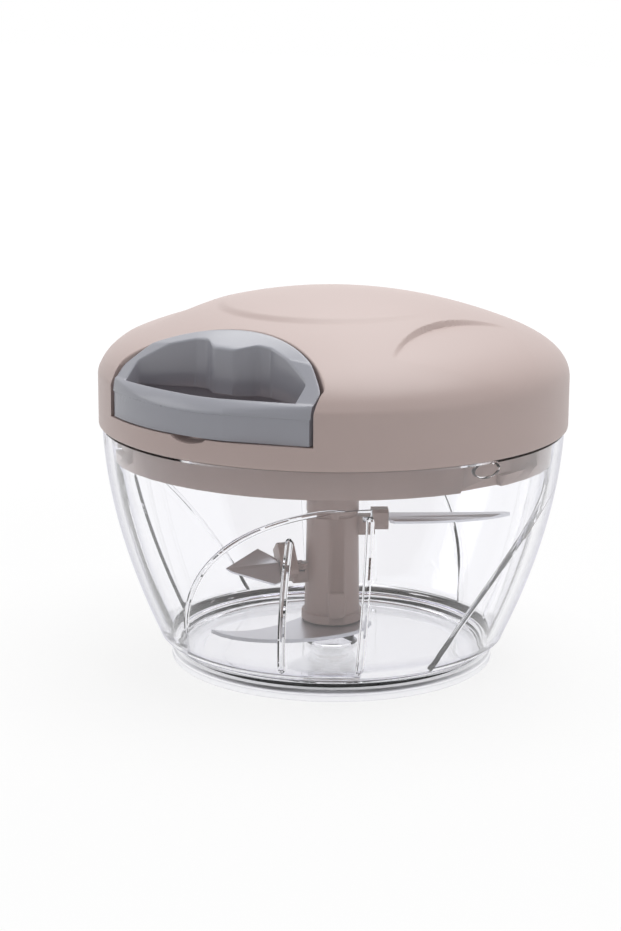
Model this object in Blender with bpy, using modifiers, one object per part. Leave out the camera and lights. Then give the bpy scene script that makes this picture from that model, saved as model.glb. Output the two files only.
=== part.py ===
"""A pull-cord food chopper: a clear bowl, a domed lid that holds a sprung reel, and three blades.

The handle in the lid's recess draws out a cord, the cord turns the reel, and the reel's shaft turns
the blades. The handle pulls along -Y, and Z is the axis of the bowl. The origin is the middle of the
foot, on the table.
"""
import math

import bmesh
import bpy
from mathutils import Matrix, Vector

MM = 0.001

# General
GAP = 0.3 * MM
ROUND_STEPS = 48
SMALL_STEPS = 24
FAR = 90 * MM

# Lid cover
LID_RADIUS = 62.5 * MM
LID_TOP = 100 * MM
LID_BOTTOM = 64.6 * MM
LID_WALL = 1.6 * MM
CROWN_WALL = 2.8 * MM
CROWN_RADIUS = 128 * MM
SHOULDER_HEIGHT = 78 * MM
SHOULDER_RUN = 13.5 * MM
EDGE_ROUND = 1.0 * MM

# Raised crown and the side dishes of the lid
CAP_RADIUS = 30 * MM
CAP_SLOPE = 3.5 * MM
CAP_TILT = math.radians(1.8)
DISH_RADIUS = 54 * MM
DISH_REACH = 34.5 * MM
DISH_BACK = 10 * MM
DISH_DEPTH = 1.6 * MM
DISH_SLIDE = 6.5 * MM
DISH_STRETCH = 1.3

# Handle, its finger opening and its recess
HANDLE_HALF_WIDTH = 31.2 * MM
HANDLE_LENGTH = 24.7 * MM
HANDLE_BACK = LID_RADIUS - HANDLE_LENGTH
HANDLE_BACK_ARC = 47.4 * MM
HANDLE_BOTTOM = 70.8 * MM
HANDLE_DEPTH = 11.4 * MM
HANDLE_CORNER = 4 * MM
HANDLE_INSET = 0.4 * MM
HANDLE_SHOULDER = 0.7 * MM
HANDLE_RIM = 4.2 * MM
HANDLE_BACK_RIM = 7 * MM
HANDLE_FRONT_WALL = 3.3 * MM
HANDLE_FRONT_ARC = 90 * MM
HANDLE_FRONT_SLOPE = 0.93
HANDLE_SKIRT = 2.0 * MM
BUMP_HALF_WIDTH = 8.5 * MM
BUMP_DEPTH = 4.2 * MM
RECESS_GAP = 0.6 * MM
NAIL_NOTCH_WIDTH = 10.6 * MM
NAIL_NOTCH_DEPTH = 2.2 * MM

# Bowl
RIM_INSET = 0.9 * MM
BOWL_RIM_RADIUS = LID_RADIUS - RIM_INSET
BOWL_RIM = LID_BOTTOM - GAP
BOWL_WALL = 2.2 * MM
HEEL_INSET = 14.6 * MM
BOWL_HEEL_RADIUS = BOWL_RIM_RADIUS - HEEL_INSET
BOWL_HEEL = 8.5 * MM
NECK_INSET = 5.8 * MM
BOWL_NECK_RADIUS = BOWL_HEEL_RADIUS - NECK_INSET
BOWL_NECK = 5 * MM
FLOOR_THICKNESS = 2.7 * MM
FLOOR_ROUND = 9 * MM
BOSS_RADIUS = 6.6 * MM
BOSS_HEIGHT = 3.0 * MM

# Swirl panels and ribs in the bowl's wall, and the bayonet nubs
SWIRL_COUNT = 4
SWIRL_ANGLE = math.radians(44)
SWIRL_SPAN = math.radians(64)
SWIRL_TOP = 54.5 * MM
SWIRL_BOTTOM = 7.4 * MM
SWIRL_STEP = 1.2 * MM
RIB_RADIUS = 1.1 * MM
RIB_OFFSET = math.radians(19.5)
RIB_SLANT = math.radians(6)
NUB_COUNT = 3
NUB_ANGLE = math.radians(74.5)
NUB_WIDTH = 8.2 * MM
NUB_HEIGHT = 4.2 * MM
NUB_PROUD = 1.5 * MM

# Foot ring
FOOT_PROUD = 2.3 * MM
FOOT_RADIUS = BOWL_NECK_RADIUS + FOOT_PROUD
FOOT_HEIGHT = 3.4 * MM
FOOT_SOLE = 1.2 * MM
FOOT_GRIP = 6.2 * MM
FOOT_BORE = BOWL_NECK_RADIUS - FOOT_GRIP

# Lid base
SKIRT_BOTTOM = 57 * MM
SKIRT_WALL = 3.6 * MM
SKIRT_CLEARANCE = 1.0 * MM
SKIRT_TOP = 67.8 * MM
CHANNEL_DEPTH = 1.9 * MM
CHANNEL_MARGIN = 1.6 * MM
LOCK_TURN = math.radians(16)
BASE_FLOOR = 61.5 * MM
BASE_FLOOR_THICKNESS = 2.0 * MM
SEAL_THICKNESS = 1.2 * MM
FLANGE_THICKNESS = 1.7 * MM
TOWER_RADIUS = 8.6 * MM
HOUSING_ROOM = 6.2 * MM
HOUSING_RADIUS = HANDLE_BACK - RECESS_GAP - LID_WALL - HOUSING_ROOM
HOUSING_WALL = 1.8 * MM

# Reel, shaft, spring and their plate
REEL_BOTTOM = 75.5 * MM
REEL_ROOM = 2.1 * MM
REEL_RADIUS = HOUSING_RADIUS - HOUSING_WALL - REEL_ROOM
REEL_FLANGE = 1.5 * MM
CORD_ROOM = 9 * MM
DRUM_RADIUS = REEL_RADIUS - CORD_ROOM
DRUM_HEIGHT = 7.6 * MM
CUP_WALL = 1.9 * MM
CUP_FLOOR = 3.1 * MM
SQUARE_HALF = 3.3 * MM
JOURNAL_RADIUS = 4.9 * MM
COLLAR_RADIUS = 7.0 * MM
COLLAR_HEIGHT = 1.5 * MM
DOG_CORE = 3.2 * MM
DOG_RADIUS = 5.2 * MM
DOG_LENGTH = 8.5 * MM
DOG_COUNT = 3
TOOTH_HALF_ANGLE = math.radians(12)
SPRING_WIDTH = 6.4 * MM
SPRING_STRIP = 0.35 * MM
SPRING_TURNS = 6
POST_RADIUS = 4.2 * MM
PLATE_THICKNESS = 1.8 * MM

# Cord
CORD_DIAMETER = 1.6 * MM
CORD_TURNS = 2.6
CORD_HEIGHT = 83 * MM
KNOT_RADIUS = 2.0 * MM
EYELET_RADIUS = 2.3 * MM
EYELET_BORE = 1.25 * MM
EYELET_FLANGE = 3.6 * MM

# Blade shaft and blades
SHAFT_RADIUS = 7.1 * MM
SHAFT_FLARE = 0.4 * MM
SHAFT_TOP = 54.4 * MM
SHAFT_BOTTOM = 10.6 * MM
SHAFT_FLANGE_RADIUS = 7.9 * MM
SHAFT_FLANGE = 2.8 * MM
SHAFT_COLLAR = 14.6 * MM
SOCKET_WALL = 1.5 * MM
STUB_RADIUS = 4.2 * MM
STUB_BOTTOM = 8.1 * MM
PIN_RADIUS = 2.0 * MM
PIN_TOP = 23 * MM
LUG_WIDTH = 4.8 * MM
LUG_HEIGHT = 6.2 * MM
LUG_PROUD = 1.5 * MM
LUG_ANGLE = math.radians(45)
BLADE_THICKNESS = 1.0 * MM
BLADE_WIDTH = 8.6 * MM
TANG_WIDTH = 3.0 * MM
HOLDER_REACH = 15 * MM
HOLDER_LENGTH = 4.6 * MM
HOLDER_WIDTH = 5.2 * MM
HOLDER_HEIGHT = 5.2 * MM
ARM_DROP = 1.6 * MM
UPPER_TIP_ROOM = 12.6 * MM
MIDDLE_TIP_ROOM = 32 * MM
LOWER_TIP_ROOM = 27.5 * MM
UPPER_BLADE = {
    "height": 38.0 * MM, "angle": math.radians(128), "pitch": 0.0,
    "reach": BOWL_RIM_RADIUS - UPPER_TIP_ROOM, "block": (-2.6 * MM, 2.6 * MM),
}
MIDDLE_BLADE = {
    "height": 25.5 * MM, "angle": math.radians(-37), "pitch": math.radians(50),
    "reach": BOWL_RIM_RADIUS - MIDDLE_TIP_ROOM, "block": (-6.5 * MM, 3.0 * MM),
}
LOWER_BLADE_ANGLE = math.radians(-35)
LOWER_BLADE_REACH = BOWL_RIM_RADIUS - LOWER_TIP_ROOM
LOWER_BLADE_BELLY = 15 * MM
RETAINER_RADIUS = 6.4 * MM

# Screws
SCREW_SHANK = 1.2 * MM
SCREW_HEAD = 2.7 * MM
SCREW_HEAD_HEIGHT = 1.7 * MM
SCREW_LENGTH = 11 * MM
SCREW_BOSS = 3.6 * MM
SCREW_ROOM = 8.8 * MM
CASE_SCREW_ANGLES = [math.radians(a) for a in (75, 150, -150, -75)]
PLATE_SCREW_ANGLES = [math.radians(a) for a in (60, 180, -60)]

# Sizes that follow from the ones above
SKIRT_RADIUS = BOWL_RIM_RADIUS - BOWL_WALL - SKIRT_CLEARANCE
CASE_SCREW_CIRCLE = SKIRT_RADIUS - SKIRT_WALL - SCREW_ROOM
PLATE_SCREW_CIRCLE = HOUSING_RADIUS + SCREW_BOSS * 0.6
FLANGE_BOTTOM = LID_BOTTOM + SEAL_THICKNESS + GAP
COVER_INNER = LID_RADIUS - LID_WALL
FLOOR_TOP = BASE_FLOOR + BASE_FLOOR_THICKNESS
REEL_TOP = REEL_BOTTOM + 2 * REEL_FLANGE + DRUM_HEIGHT
DRUM_BOTTOM = REEL_BOTTOM + REEL_FLANGE
PLATE_BOTTOM = REEL_TOP + 2 * GAP
WIND_RADIUS = DRUM_RADIUS + GAP + CORD_DIAMETER / 2
CORD_PITCH = (DRUM_HEIGHT - CORD_DIAMETER - 2 * GAP) / CORD_TURNS
COLLAR_TOP = BASE_FLOOR - GAP
DOG_TOP = COLLAR_TOP - COLLAR_HEIGHT
DOG_BOTTOM = SHAFT_TOP - DOG_LENGTH
LIP_TOP = HANDLE_BOTTOM - GAP
BOWL_BOTTOM = FOOT_SOLE + GAP
BOWL_FLOOR = BOWL_BOTTOM + FLOOR_THICKNESS
BOSS_TOP = BOWL_FLOOR + BOSS_HEIGHT
NUB_MIDDLE = BOWL_RIM - 0.2 * MM - NUB_HEIGHT / 2
SOCKET_RADIUS = SHAFT_RADIUS - SOCKET_WALL
SOCKET_BOTTOM = DOG_BOTTOM - 1.2 * MM

COLOURS = {
    "beige": ((0.62, 0.53, 0.50, 1), 0.45, 0.0),
    "grey": ((0.38, 0.39, 0.43, 1), 0.40, 0.0),
    "clear": ((0.95, 0.96, 0.98, 0.25), 0.05, 0.0),
    "soft_clear": ((0.75, 0.77, 0.79, 0.6), 0.35, 0.0),
    "white_plastic": ((0.80, 0.80, 0.78, 1), 0.50, 0.0),
    "steel": ((0.62, 0.63, 0.65, 1), 0.22, 1.0),
    "spring_steel": ((0.35, 0.37, 0.42, 1), 0.35, 1.0),
    "silicone": ((0.82, 0.82, 0.80, 1), 0.60, 0.0),
    "cord": ((0.85, 0.85, 0.83, 1), 0.85, 0.0),
}


def clear_scene():
    for item in list(bpy.data.objects):
        bpy.data.objects.remove(item, do_unlink=True)
    for name in ("food_chopper", "cutters"):
        collection = bpy.data.collections.new(name)
        bpy.context.scene.collection.children.link(collection)


def material(name, finish):
    """One Principled material per part, from the table of finishes."""
    colour, roughness, metallic = COLOURS[finish]
    made = bpy.data.materials.new(name)
    made.use_nodes = True
    shader = made.node_tree.nodes["Principled BSDF"]
    shader.inputs["Base Color"].default_value = colour
    shader.inputs["Roughness"].default_value = roughness
    shader.inputs["Metallic"].default_value = metallic
    shader.inputs["Alpha"].default_value = colour[3]
    return made


def helper(item):
    """Marks an object as a tool that shapes others and is no part itself."""
    item.hide_render = True
    item.display_type = "WIRE"
    bpy.data.collections["cutters"].objects.link(item)
    return item


def part(item, finish, parent=None):
    item.data.materials.clear()
    item.data.materials.append(material(item.name + "_material", finish))
    bpy.data.collections["food_chopper"].objects.link(item)
    item.parent = parent
    return item


def axis_empty(name, parent=None):
    """An empty on the chopper's axis, which carries the parts that turn or slide together."""
    item = bpy.data.objects.new(name, None)
    item.parent = parent
    bpy.data.collections["food_chopper"].objects.link(item)
    return item


def place(item, location=(0, 0, 0), turn=0.0):
    item.location = location
    item.rotation_euler = (0, 0, turn)
    return item


def polar(radius, angle, height=0.0):
    """A point at an angle from the handle's side, -Y, positive anticlockwise from above."""
    return Vector((radius * math.sin(angle), -radius * math.cos(angle), height))


def bezier(start, first, second, end, count):
    points = []
    for i in range(count + 1):
        t = i / count
        weights = ((1 - t) ** 3, 3 * t * (1 - t) ** 2, 3 * t * t * (1 - t), t ** 3)
        points.append(tuple(
            sum(w * p[k] for w, p in zip(weights, (start, first, second, end)))
            for k in range(2)
        ))
    return points


def arc(centre, radius, start, end, count):
    return [
        (
            centre[0] + radius * math.cos(start + (end - start) * i / count),
            centre[1] + radius * math.sin(start + (end - start) * i / count),
        )
        for i in range(count + 1)
    ]


def rounded(points, radius, count=4):
    """A closed outline with each corner sharper than 25 degrees turned into an arc."""
    made = []
    size = len(points)
    for i, corner in enumerate(points):
        corner = Vector(corner)
        before = (Vector(points[i - 1]) - corner)
        after = (Vector(points[(i + 1) % size]) - corner)
        half = before.angle(after) / 2
        if half > math.radians(77):
            made.append(tuple(corner))
            continue
        reach = min(radius / math.tan(half), before.length * 0.45, after.length * 0.45)
        bend = reach * math.tan(half)
        middle = corner + (before.normalized() + after.normalized()).normalized() * bend / math.sin(half)
        first = corner + before.normalized() * reach - middle
        last = corner + after.normalized() * reach - middle
        for k in range(count + 1):
            spoke = first.lerp(last, k / count).normalized() * bend
            made.append(tuple(middle + spoke))
    return made


def turned(name, profile, steps=ROUND_STEPS, closed=False):
    """A profile of (radius, height) turned about Z: outer side first, from top to bottom."""
    mesh = bpy.data.meshes.new(name)
    points = [(radius, 0, height) for radius, height in profile]
    edges = [(i, i + 1) for i in range(len(points) - 1)]
    if closed:
        edges.append((len(points) - 1, 0))
    mesh.from_pydata(points, edges, [])
    item = bpy.data.objects.new(name, mesh)
    screw = item.modifiers.new("turn", "SCREW")
    screw.steps = steps
    screw.render_steps = steps
    screw.use_merge_vertices = True
    screw.merge_threshold = 0.01 * MM
    return item


def ring(name, inner, outer, low, high, steps=ROUND_STEPS):
    return turned(name, [(outer, high), (outer, low), (inner, low), (inner, high)], steps, True)


def rod(name, radius, low, high, steps=SMALL_STEPS):
    return turned(name, [(0, high), (radius, high), (radius, low), (0, low)], steps)


def as_mesh(item):
    """The object's finished mesh in place of its modifiers or its curve."""
    collection = bpy.context.scene.collection
    collection.objects.link(item)
    bpy.context.view_layer.update()
    graph = bpy.context.evaluated_depsgraph_get()
    mesh = bpy.data.meshes.new_from_object(item.evaluated_get(graph))
    shape = bmesh.new()
    shape.from_mesh(mesh)
    bmesh.ops.remove_doubles(shape, verts=shape.verts, dist=0.001 * MM)
    shape.to_mesh(mesh)
    shape.free()
    mesh.transform(item.matrix_world)
    name = item.name
    bpy.data.objects.remove(item)
    return bpy.data.objects.new(name, mesh)


def prism(name, outline, low, high):
    """A flat outline in XY, filled and pulled up from low to high."""
    curve = bpy.data.curves.new(name, "CURVE")
    curve.dimensions = "2D"
    curve.fill_mode = "BOTH"
    curve.extrude = (high - low) / 2
    spline = curve.splines.new("POLY")
    spline.points.add(len(outline) - 1)
    for point, (x, y) in zip(spline.points, outline):
        point.co = (x, y, 0, 1)
    spline.use_cyclic_u = True
    item = bpy.data.objects.new(name, curve)
    item.location = (0, 0, (low + high) / 2)
    return as_mesh(item)


def wall_prism(name, outline, near, far, angle):
    """An outline in (sideways, up), pulled outwards from near to far and turned to its angle."""
    item = prism(name, outline, near, far)
    stand = Matrix(((1, 0, 0, 0), (0, 0, -1, 0), (0, 1, 0, 0), (0, 0, 0, 1)))
    item.data.transform(Matrix.Rotation(angle, 4, "Z") @ stand)
    return item


def tube(name, points, radius, bevel_resolution=2, closed_ends=True):
    """A round wire through the points."""
    curve = bpy.data.curves.new(name, "CURVE")
    curve.dimensions = "3D"
    curve.bevel_depth = radius
    curve.bevel_resolution = bevel_resolution
    curve.use_fill_caps = closed_ends
    spline = curve.splines.new("POLY")
    spline.points.add(len(points) - 1)
    for point, place_at in zip(spline.points, points):
        point.co = (*place_at, 1)
    return as_mesh(bpy.data.objects.new(name, curve))


def moved(item, location=(0, 0, 0), turn=0.0):
    item.data.transform(Matrix.Translation(location) @ Matrix.Rotation(turn, 4, "Z"))
    return item


def joined(name, items):
    """Several separate closed shapes as one tool."""
    shape = bmesh.new()
    for item in items:
        if item.modifiers or item.type != "MESH":
            item = as_mesh(item)
        item.data.transform(item.matrix_basis)
        shape.from_mesh(item.data)
        bpy.data.objects.remove(item)
    mesh = bpy.data.meshes.new(name)
    shape.to_mesh(mesh)
    shape.free()
    return bpy.data.objects.new(name, mesh)


def boolean(item, tool, operation):
    modifier = item.modifiers.new(tool.name, "BOOLEAN")
    modifier.operation = operation
    modifier.solver = "EXACT"
    modifier.object = helper(tool)
    return item


def cut(item, tool):
    return boolean(item, tool, "DIFFERENCE")


def add(item, tool):
    return boolean(item, tool, "UNION")


def keep(item, tool):
    return boolean(item, tool, "INTERSECT")


def smooth(item, angle=35):
    """Shades the round faces smooth and keeps edges sharper than the angle."""
    bpy.context.view_layer.update()
    item.data.shade_smooth()
    item.data.set_sharp_from_angle(angle=math.radians(angle))
    return item


def crown_height(radius, inset=0.0):
    return LID_TOP - inset - radius * radius / (2 * CROWN_RADIUS)


def dome_profile(inset=0.0, shoulder_drop=0.0, crown_inset=None, count=6):
    """The lid's outer line from the axis to the side wall, moved in by the insets."""
    crown_inset = inset if crown_inset is None else crown_inset
    side = LID_RADIUS - inset
    bend = side - SHOULDER_RUN
    shoulder = SHOULDER_HEIGHT - shoulder_drop
    top = crown_height(bend, crown_inset)
    slope = bend / CROWN_RADIUS
    reach = SHOULDER_RUN * 0.48
    crown = [(bend * i / 4, crown_height(bend * i / 4, crown_inset)) for i in range(4)]
    lean = shoulder + SHOULDER_RUN * 0.48
    start = (bend, top)
    return crown + bezier(start, (bend + reach, top - reach * slope), (side, lean), (side, shoulder), count)


def handle_outline(spread=0.0, front=FAR):
    """Half circle arc behind and straight sides, open towards the front at -Y."""
    half = HANDLE_HALF_WIDTH + spread
    radius = HANDLE_BACK_ARC + spread
    centre = -HANDLE_BACK - HANDLE_BACK_ARC
    swing = math.asin(half / radius)
    back = arc((0, centre), radius, math.pi / 2 - swing, math.pi / 2 + swing, 14)
    outline = [(half, -front)] + back + [(-half, -front)]
    return rounded(outline, HANDLE_CORNER + spread)


def finger_outline():
    """The opening in the handle: a bump at its back and slanted corners at its sides."""
    back = -HANDLE_BACK - HANDLE_BACK_RIM
    side = HANDLE_HALF_WIDTH - HANDLE_RIM
    front_radius = LID_RADIUS - HANDLE_FRONT_WALL
    swing = math.asin((side - 0.8 * MM) / front_radius)
    outline = [(side, back - HANDLE_BACK_RIM * 0.85), (side * 0.52, back)]
    steps = 8
    for i in range(steps + 1):
        x = BUMP_HALF_WIDTH * (1 - 2 * i / steps)
        swell = BUMP_DEPTH * (0.5 + 0.5 * math.cos(math.pi * x / BUMP_HALF_WIDTH))
        outline.append((x, back - swell))
    outline += [(-side * 0.52, back), (-side, back - HANDLE_BACK_RIM * 0.85)]
    outline += arc((0, 0), front_radius, -math.pi / 2 - swing, -math.pi / 2 + swing, 10)
    return rounded(outline, 1.6 * MM, 3)


def bowl_wall(height):
    """Outer radius of the bowl at a height, on the curve from heel to rim."""
    start = (BOWL_RIM_RADIUS, BOWL_RIM)
    span = BOWL_RIM - BOWL_HEEL
    drop = BOWL_RIM_RADIUS - BOWL_HEEL_RADIUS
    first = (BOWL_RIM_RADIUS - drop * 0.055, BOWL_RIM - span * 0.345)
    second = (BOWL_HEEL_RADIUS + drop * 0.55, BOWL_HEEL + span * 0.314)
    curve = bezier(start, first, second, (BOWL_HEEL_RADIUS, BOWL_HEEL), 48)
    for (r0, z0), (r1, z1) in zip(curve, curve[1:]):
        if z1 <= height <= z0:
            return r0 + (r1 - r0) * (z0 - height) / (z0 - z1)
    return BOWL_RIM_RADIUS if height > BOWL_RIM else BOWL_HEEL_RADIUS


def bowl_heights(count):
    return [BOWL_RIM + (BOWL_HEEL - BOWL_RIM) * i / count for i in range(count + 1)]


def make_bowl():
    """One line from the boss in the floor up the inside, over the rim and down to the neck."""
    inner_low = BOWL_HEEL + 2.4 * MM
    inside = bowl_wall(inner_low) - BOWL_WALL
    boss = [(0, BOSS_TOP), (BOSS_RADIUS - 1.6 * MM, BOSS_TOP), (BOSS_RADIUS, BOWL_FLOOR)]
    corner = bezier(
        (inside - FLOOR_ROUND, BOWL_FLOOR), (inside - FLOOR_ROUND * 0.4, BOWL_FLOOR),
        (inside - FLOOR_ROUND * 0.1, BOWL_FLOOR + 2.2 * MM), (inside, inner_low), 4)
    wall = [(bowl_wall(z) - BOWL_WALL, z) for z in reversed(bowl_heights(8)) if z > inner_low + 2 * MM]
    outer = [(bowl_wall(z), z) for z in bowl_heights(8)]
    heel = [
        (BOWL_HEEL_RADIUS - 1.2 * MM, BOWL_HEEL - 2.1 * MM),
        (BOWL_NECK_RADIUS + 0.6 * MM, BOWL_NECK + 0.3 * MM),
        (BOWL_NECK_RADIUS, BOWL_NECK - 0.4 * MM),
        (BOWL_NECK_RADIUS, BOWL_BOTTOM),
        (0, BOWL_BOTTOM),
    ]
    bowl = turned("bowl", boss + corner + wall + outer + heel)
    cut(bowl, rod("pin_hole", PIN_RADIUS + GAP, BOWL_FLOOR + 0.6 * MM, BOSS_TOP + 1 * MM, 16))
    add(bowl, swirl_panels())
    add(bowl, wall_ribs())
    add(bowl, bayonet_nubs())
    return smooth(bowl)


def swirl_panels():
    """Panels that stand in from the wall: an upright edge on one side, a swept curve on the other."""
    middle = -SWIRL_SPAN * 0.45
    sweep = bezier((0, SWIRL_TOP), (-0.42 * SWIRL_SPAN, SWIRL_TOP),
                   (-0.75 * SWIRL_SPAN, SWIRL_BOTTOM + 0.67 * (SWIRL_TOP - SWIRL_BOTTOM)),
                   (-SWIRL_SPAN, SWIRL_BOTTOM), 12)
    upright = [(0, SWIRL_BOTTOM + (SWIRL_TOP - SWIRL_BOTTOM) * i / 6) for i in range(6)]
    outline = [
        ((bowl_wall(z) - BOWL_WALL) * math.sin(angle - middle), z) for angle, z in upright + sweep
    ]
    low = SWIRL_BOTTOM - 3 * MM
    heights = [low + (SWIRL_TOP + 3 * MM - low) * i / 8 for i in range(9)]
    bury = BOWL_WALL / 2
    inner = [(bowl_wall(z) - BOWL_WALL - SWIRL_STEP, z) for z in heights]
    outer = [(bowl_wall(z) - bury, z) for z in reversed(heights)]
    skin = as_mesh(turned("skin", outer + inner, ROUND_STEPS, True))
    panels = []
    for i in range(SWIRL_COUNT):
        turn = 2 * math.pi * i / SWIRL_COUNT
        panel = bpy.data.objects.new(f"panel_{i}", skin.data.copy())
        keep(panel, wall_prism(f"sail_{i}", outline, BOWL_HEEL_RADIUS / 2, FAR, SWIRL_ANGLE + middle + turn))
        panels.append(panel)
    bpy.data.objects.remove(skin)
    return joined("swirl_panels", panels)


def wall_ribs():
    """Slim ribs on the inner wall: an upright one at each panel's edge, a slanted one in its middle."""
    low = SWIRL_BOTTOM + 0.6 * MM
    inset = BOWL_WALL + SWIRL_STEP * 0.6
    ribs = []
    for i in range(SWIRL_COUNT):
        for offset, slant, drop in ((0, 0, 1.5 * MM), (-RIB_OFFSET, RIB_SLANT, 7.5 * MM)):
            angle = SWIRL_ANGLE + offset + 2 * math.pi * i / SWIRL_COUNT
            line = []
            for k in range(7):
                z = low + (SWIRL_TOP - drop - low) * k / 6
                line.append(polar(bowl_wall(z) - inset, angle - slant * (1 - k / 6), z))
            ribs.append(tube(f"rib_{len(ribs)}", line, RIB_RADIUS, 1))
    return joined("wall_ribs", ribs)


def bayonet_nubs():
    nubs = []
    outline = [
        (NUB_WIDTH / 2 * math.cos(t), NUB_MIDDLE + NUB_HEIGHT / 2 * math.sin(t))
        for t in (2 * math.pi * k / 14 for k in range(14))
    ]
    inner = SKIRT_RADIUS - NUB_PROUD + 0.45 * MM
    for i in range(NUB_COUNT):
        angle = NUB_ANGLE + 2 * math.pi * i / NUB_COUNT
        nubs.append(wall_prism(f"nub_{i}", outline, inner, BOWL_RIM_RADIUS - BOWL_WALL / 2, angle))
    return joined("bayonet_nubs", nubs)


def make_foot_ring():
    lip = BOWL_NECK_RADIUS + GAP
    profile = [
        (lip, FOOT_HEIGHT), (FOOT_RADIUS - 0.8 * MM, FOOT_HEIGHT), (FOOT_RADIUS, FOOT_HEIGHT - 1.1 * MM),
        (FOOT_RADIUS, 0.8 * MM), (FOOT_RADIUS - 0.8 * MM, 0), (FOOT_BORE, 0), (FOOT_BORE, FOOT_SOLE),
        (lip, FOOT_SOLE),
    ]
    return smooth(turned("foot_ring", profile, ROUND_STEPS, True))


def lid_solid(name, inset, low, shoulder_drop=0.0):
    profile = dome_profile(inset, shoulder_drop)
    return turned(name, profile + [(LID_RADIUS - inset, low), (0, low)])


def cap_edge():
    """Lowers the dome outside the raised crown, most towards the handle and not at all behind."""
    profile = dome_profile()
    outside = [p for p in profile if p[0] > CAP_RADIUS + CAP_SLOPE / 2]
    high = LID_TOP + 20 * MM
    line = [(FAR, high), (FAR, SHOULDER_HEIGHT)] + list(reversed(outside))
    foot = CAP_RADIUS + CAP_SLOPE / 2
    crest = CAP_RADIUS - CAP_SLOPE / 2
    line += [(foot, crown_height(foot)), (crest, crown_height(crest) + 1.2 * MM), (crest, high)]
    tool = as_mesh(turned("cap_edge", line, ROUND_STEPS, True))
    pivot = Vector((0, 0, LID_TOP - 5 * MM))
    tilt = Matrix.Translation(pivot) @ Matrix.Rotation(CAP_TILT, 4, "X") @ Matrix.Translation(-pivot)
    tool.data.transform(tilt)
    return tool


def side_dish(side):
    """A crescent-edged dish: the crown again, wider front to back, slid out and sunk."""
    centre = side * (DISH_REACH + DISH_RADIUS)
    disc = rod(f"dish_{side}", DISH_RADIUS, SHOULDER_HEIGHT - 9 * MM, LID_TOP + 5 * MM, 80)
    disc = moved(as_mesh(disc), (centre, -DISH_BACK, 0))
    floor = as_mesh(lid_solid(f"dish_floor_{side}", 0, LID_BOTTOM))
    back = DISH_BACK * (DISH_STRETCH ** 2 - 1)
    edge = (DISH_REACH ** 2 + DISH_BACK ** 2) / (2 * CROWN_RADIUS)
    slid = ((DISH_REACH - DISH_SLIDE) ** 2 + ((DISH_BACK + back) / DISH_STRETCH) ** 2) / (2 * CROWN_RADIUS)
    sink = DISH_DEPTH + edge - slid
    floor.data.transform(
        Matrix.Translation((side * DISH_SLIDE, back, -sink)) @ Matrix.Diagonal((1, DISH_STRETCH, 1, 1)))
    return cut(disc, floor)


def make_lid_cover():
    profile = dome_profile()
    edge = [
        (LID_RADIUS, LID_BOTTOM + EDGE_ROUND), (LID_RADIUS - EDGE_ROUND * 0.7, LID_BOTTOM),
        (COVER_INNER, LID_BOTTOM),
    ]
    inner = list(reversed(dome_profile(LID_WALL, 0, CROWN_WALL)))
    cover = turned("lid_cover", profile + edge + inner)
    pocket = prism("recess_wall", handle_outline(RECESS_GAP + LID_WALL), LIP_TOP - LID_WALL, LID_TOP + 9 * MM)
    add(cover, keep(pocket, lid_solid("pocket_limit", LID_WALL / 2, LID_BOTTOM)))
    for i, angle in enumerate(CASE_SCREW_ANGLES):
        boss = rod(f"boss_{i}", SCREW_BOSS, FLOOR_TOP + GAP, LID_TOP, 20)
        boss = moved(as_mesh(boss), polar(CASE_SCREW_CIRCLE, angle))
        add(cover, keep(boss, lid_solid(f"boss_limit_{i}", LID_WALL / 2, LID_BOTTOM - 5 * MM)))
        hole_top = BASE_FLOOR + SCREW_LENGTH + 1 * MM
        hole = rod(f"boss_hole_{i}", SCREW_SHANK + GAP, LID_BOTTOM - 5 * MM, hole_top, 16)
        cut(cover, moved(as_mesh(hole), polar(CASE_SCREW_CIRCLE, angle)))
    cut(cover, prism("recess", handle_outline(RECESS_GAP), LIP_TOP, LID_TOP + 9 * MM))
    cut(cover, cap_edge())
    cut(cover, side_dish(1))
    cut(cover, side_dish(-1))
    hole = rod("eyelet_hole", EYELET_RADIUS + GAP, HANDLE_BACK - 6 * MM, HANDLE_BACK + 4 * MM, 20)
    hole = as_mesh(hole)
    hole.data.transform(Matrix.Translation((0, 0, CORD_HEIGHT)) @ Matrix.Rotation(math.pi / 2, 4, "X"))
    cut(cover, hole)
    notch = tube("nail_notch", [(-NAIL_NOTCH_WIDTH / 2, 0, 0), (NAIL_NOTCH_WIDTH / 2, 0, 0)], 1 * MM, 2)
    notch.data.transform(
        Matrix.Translation((0, -LID_RADIUS, LIP_TOP)) @ Matrix.Diagonal((1, 1.6, NAIL_NOTCH_DEPTH / MM, 1)))
    cut(cover, notch)
    return smooth(cover)


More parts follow.
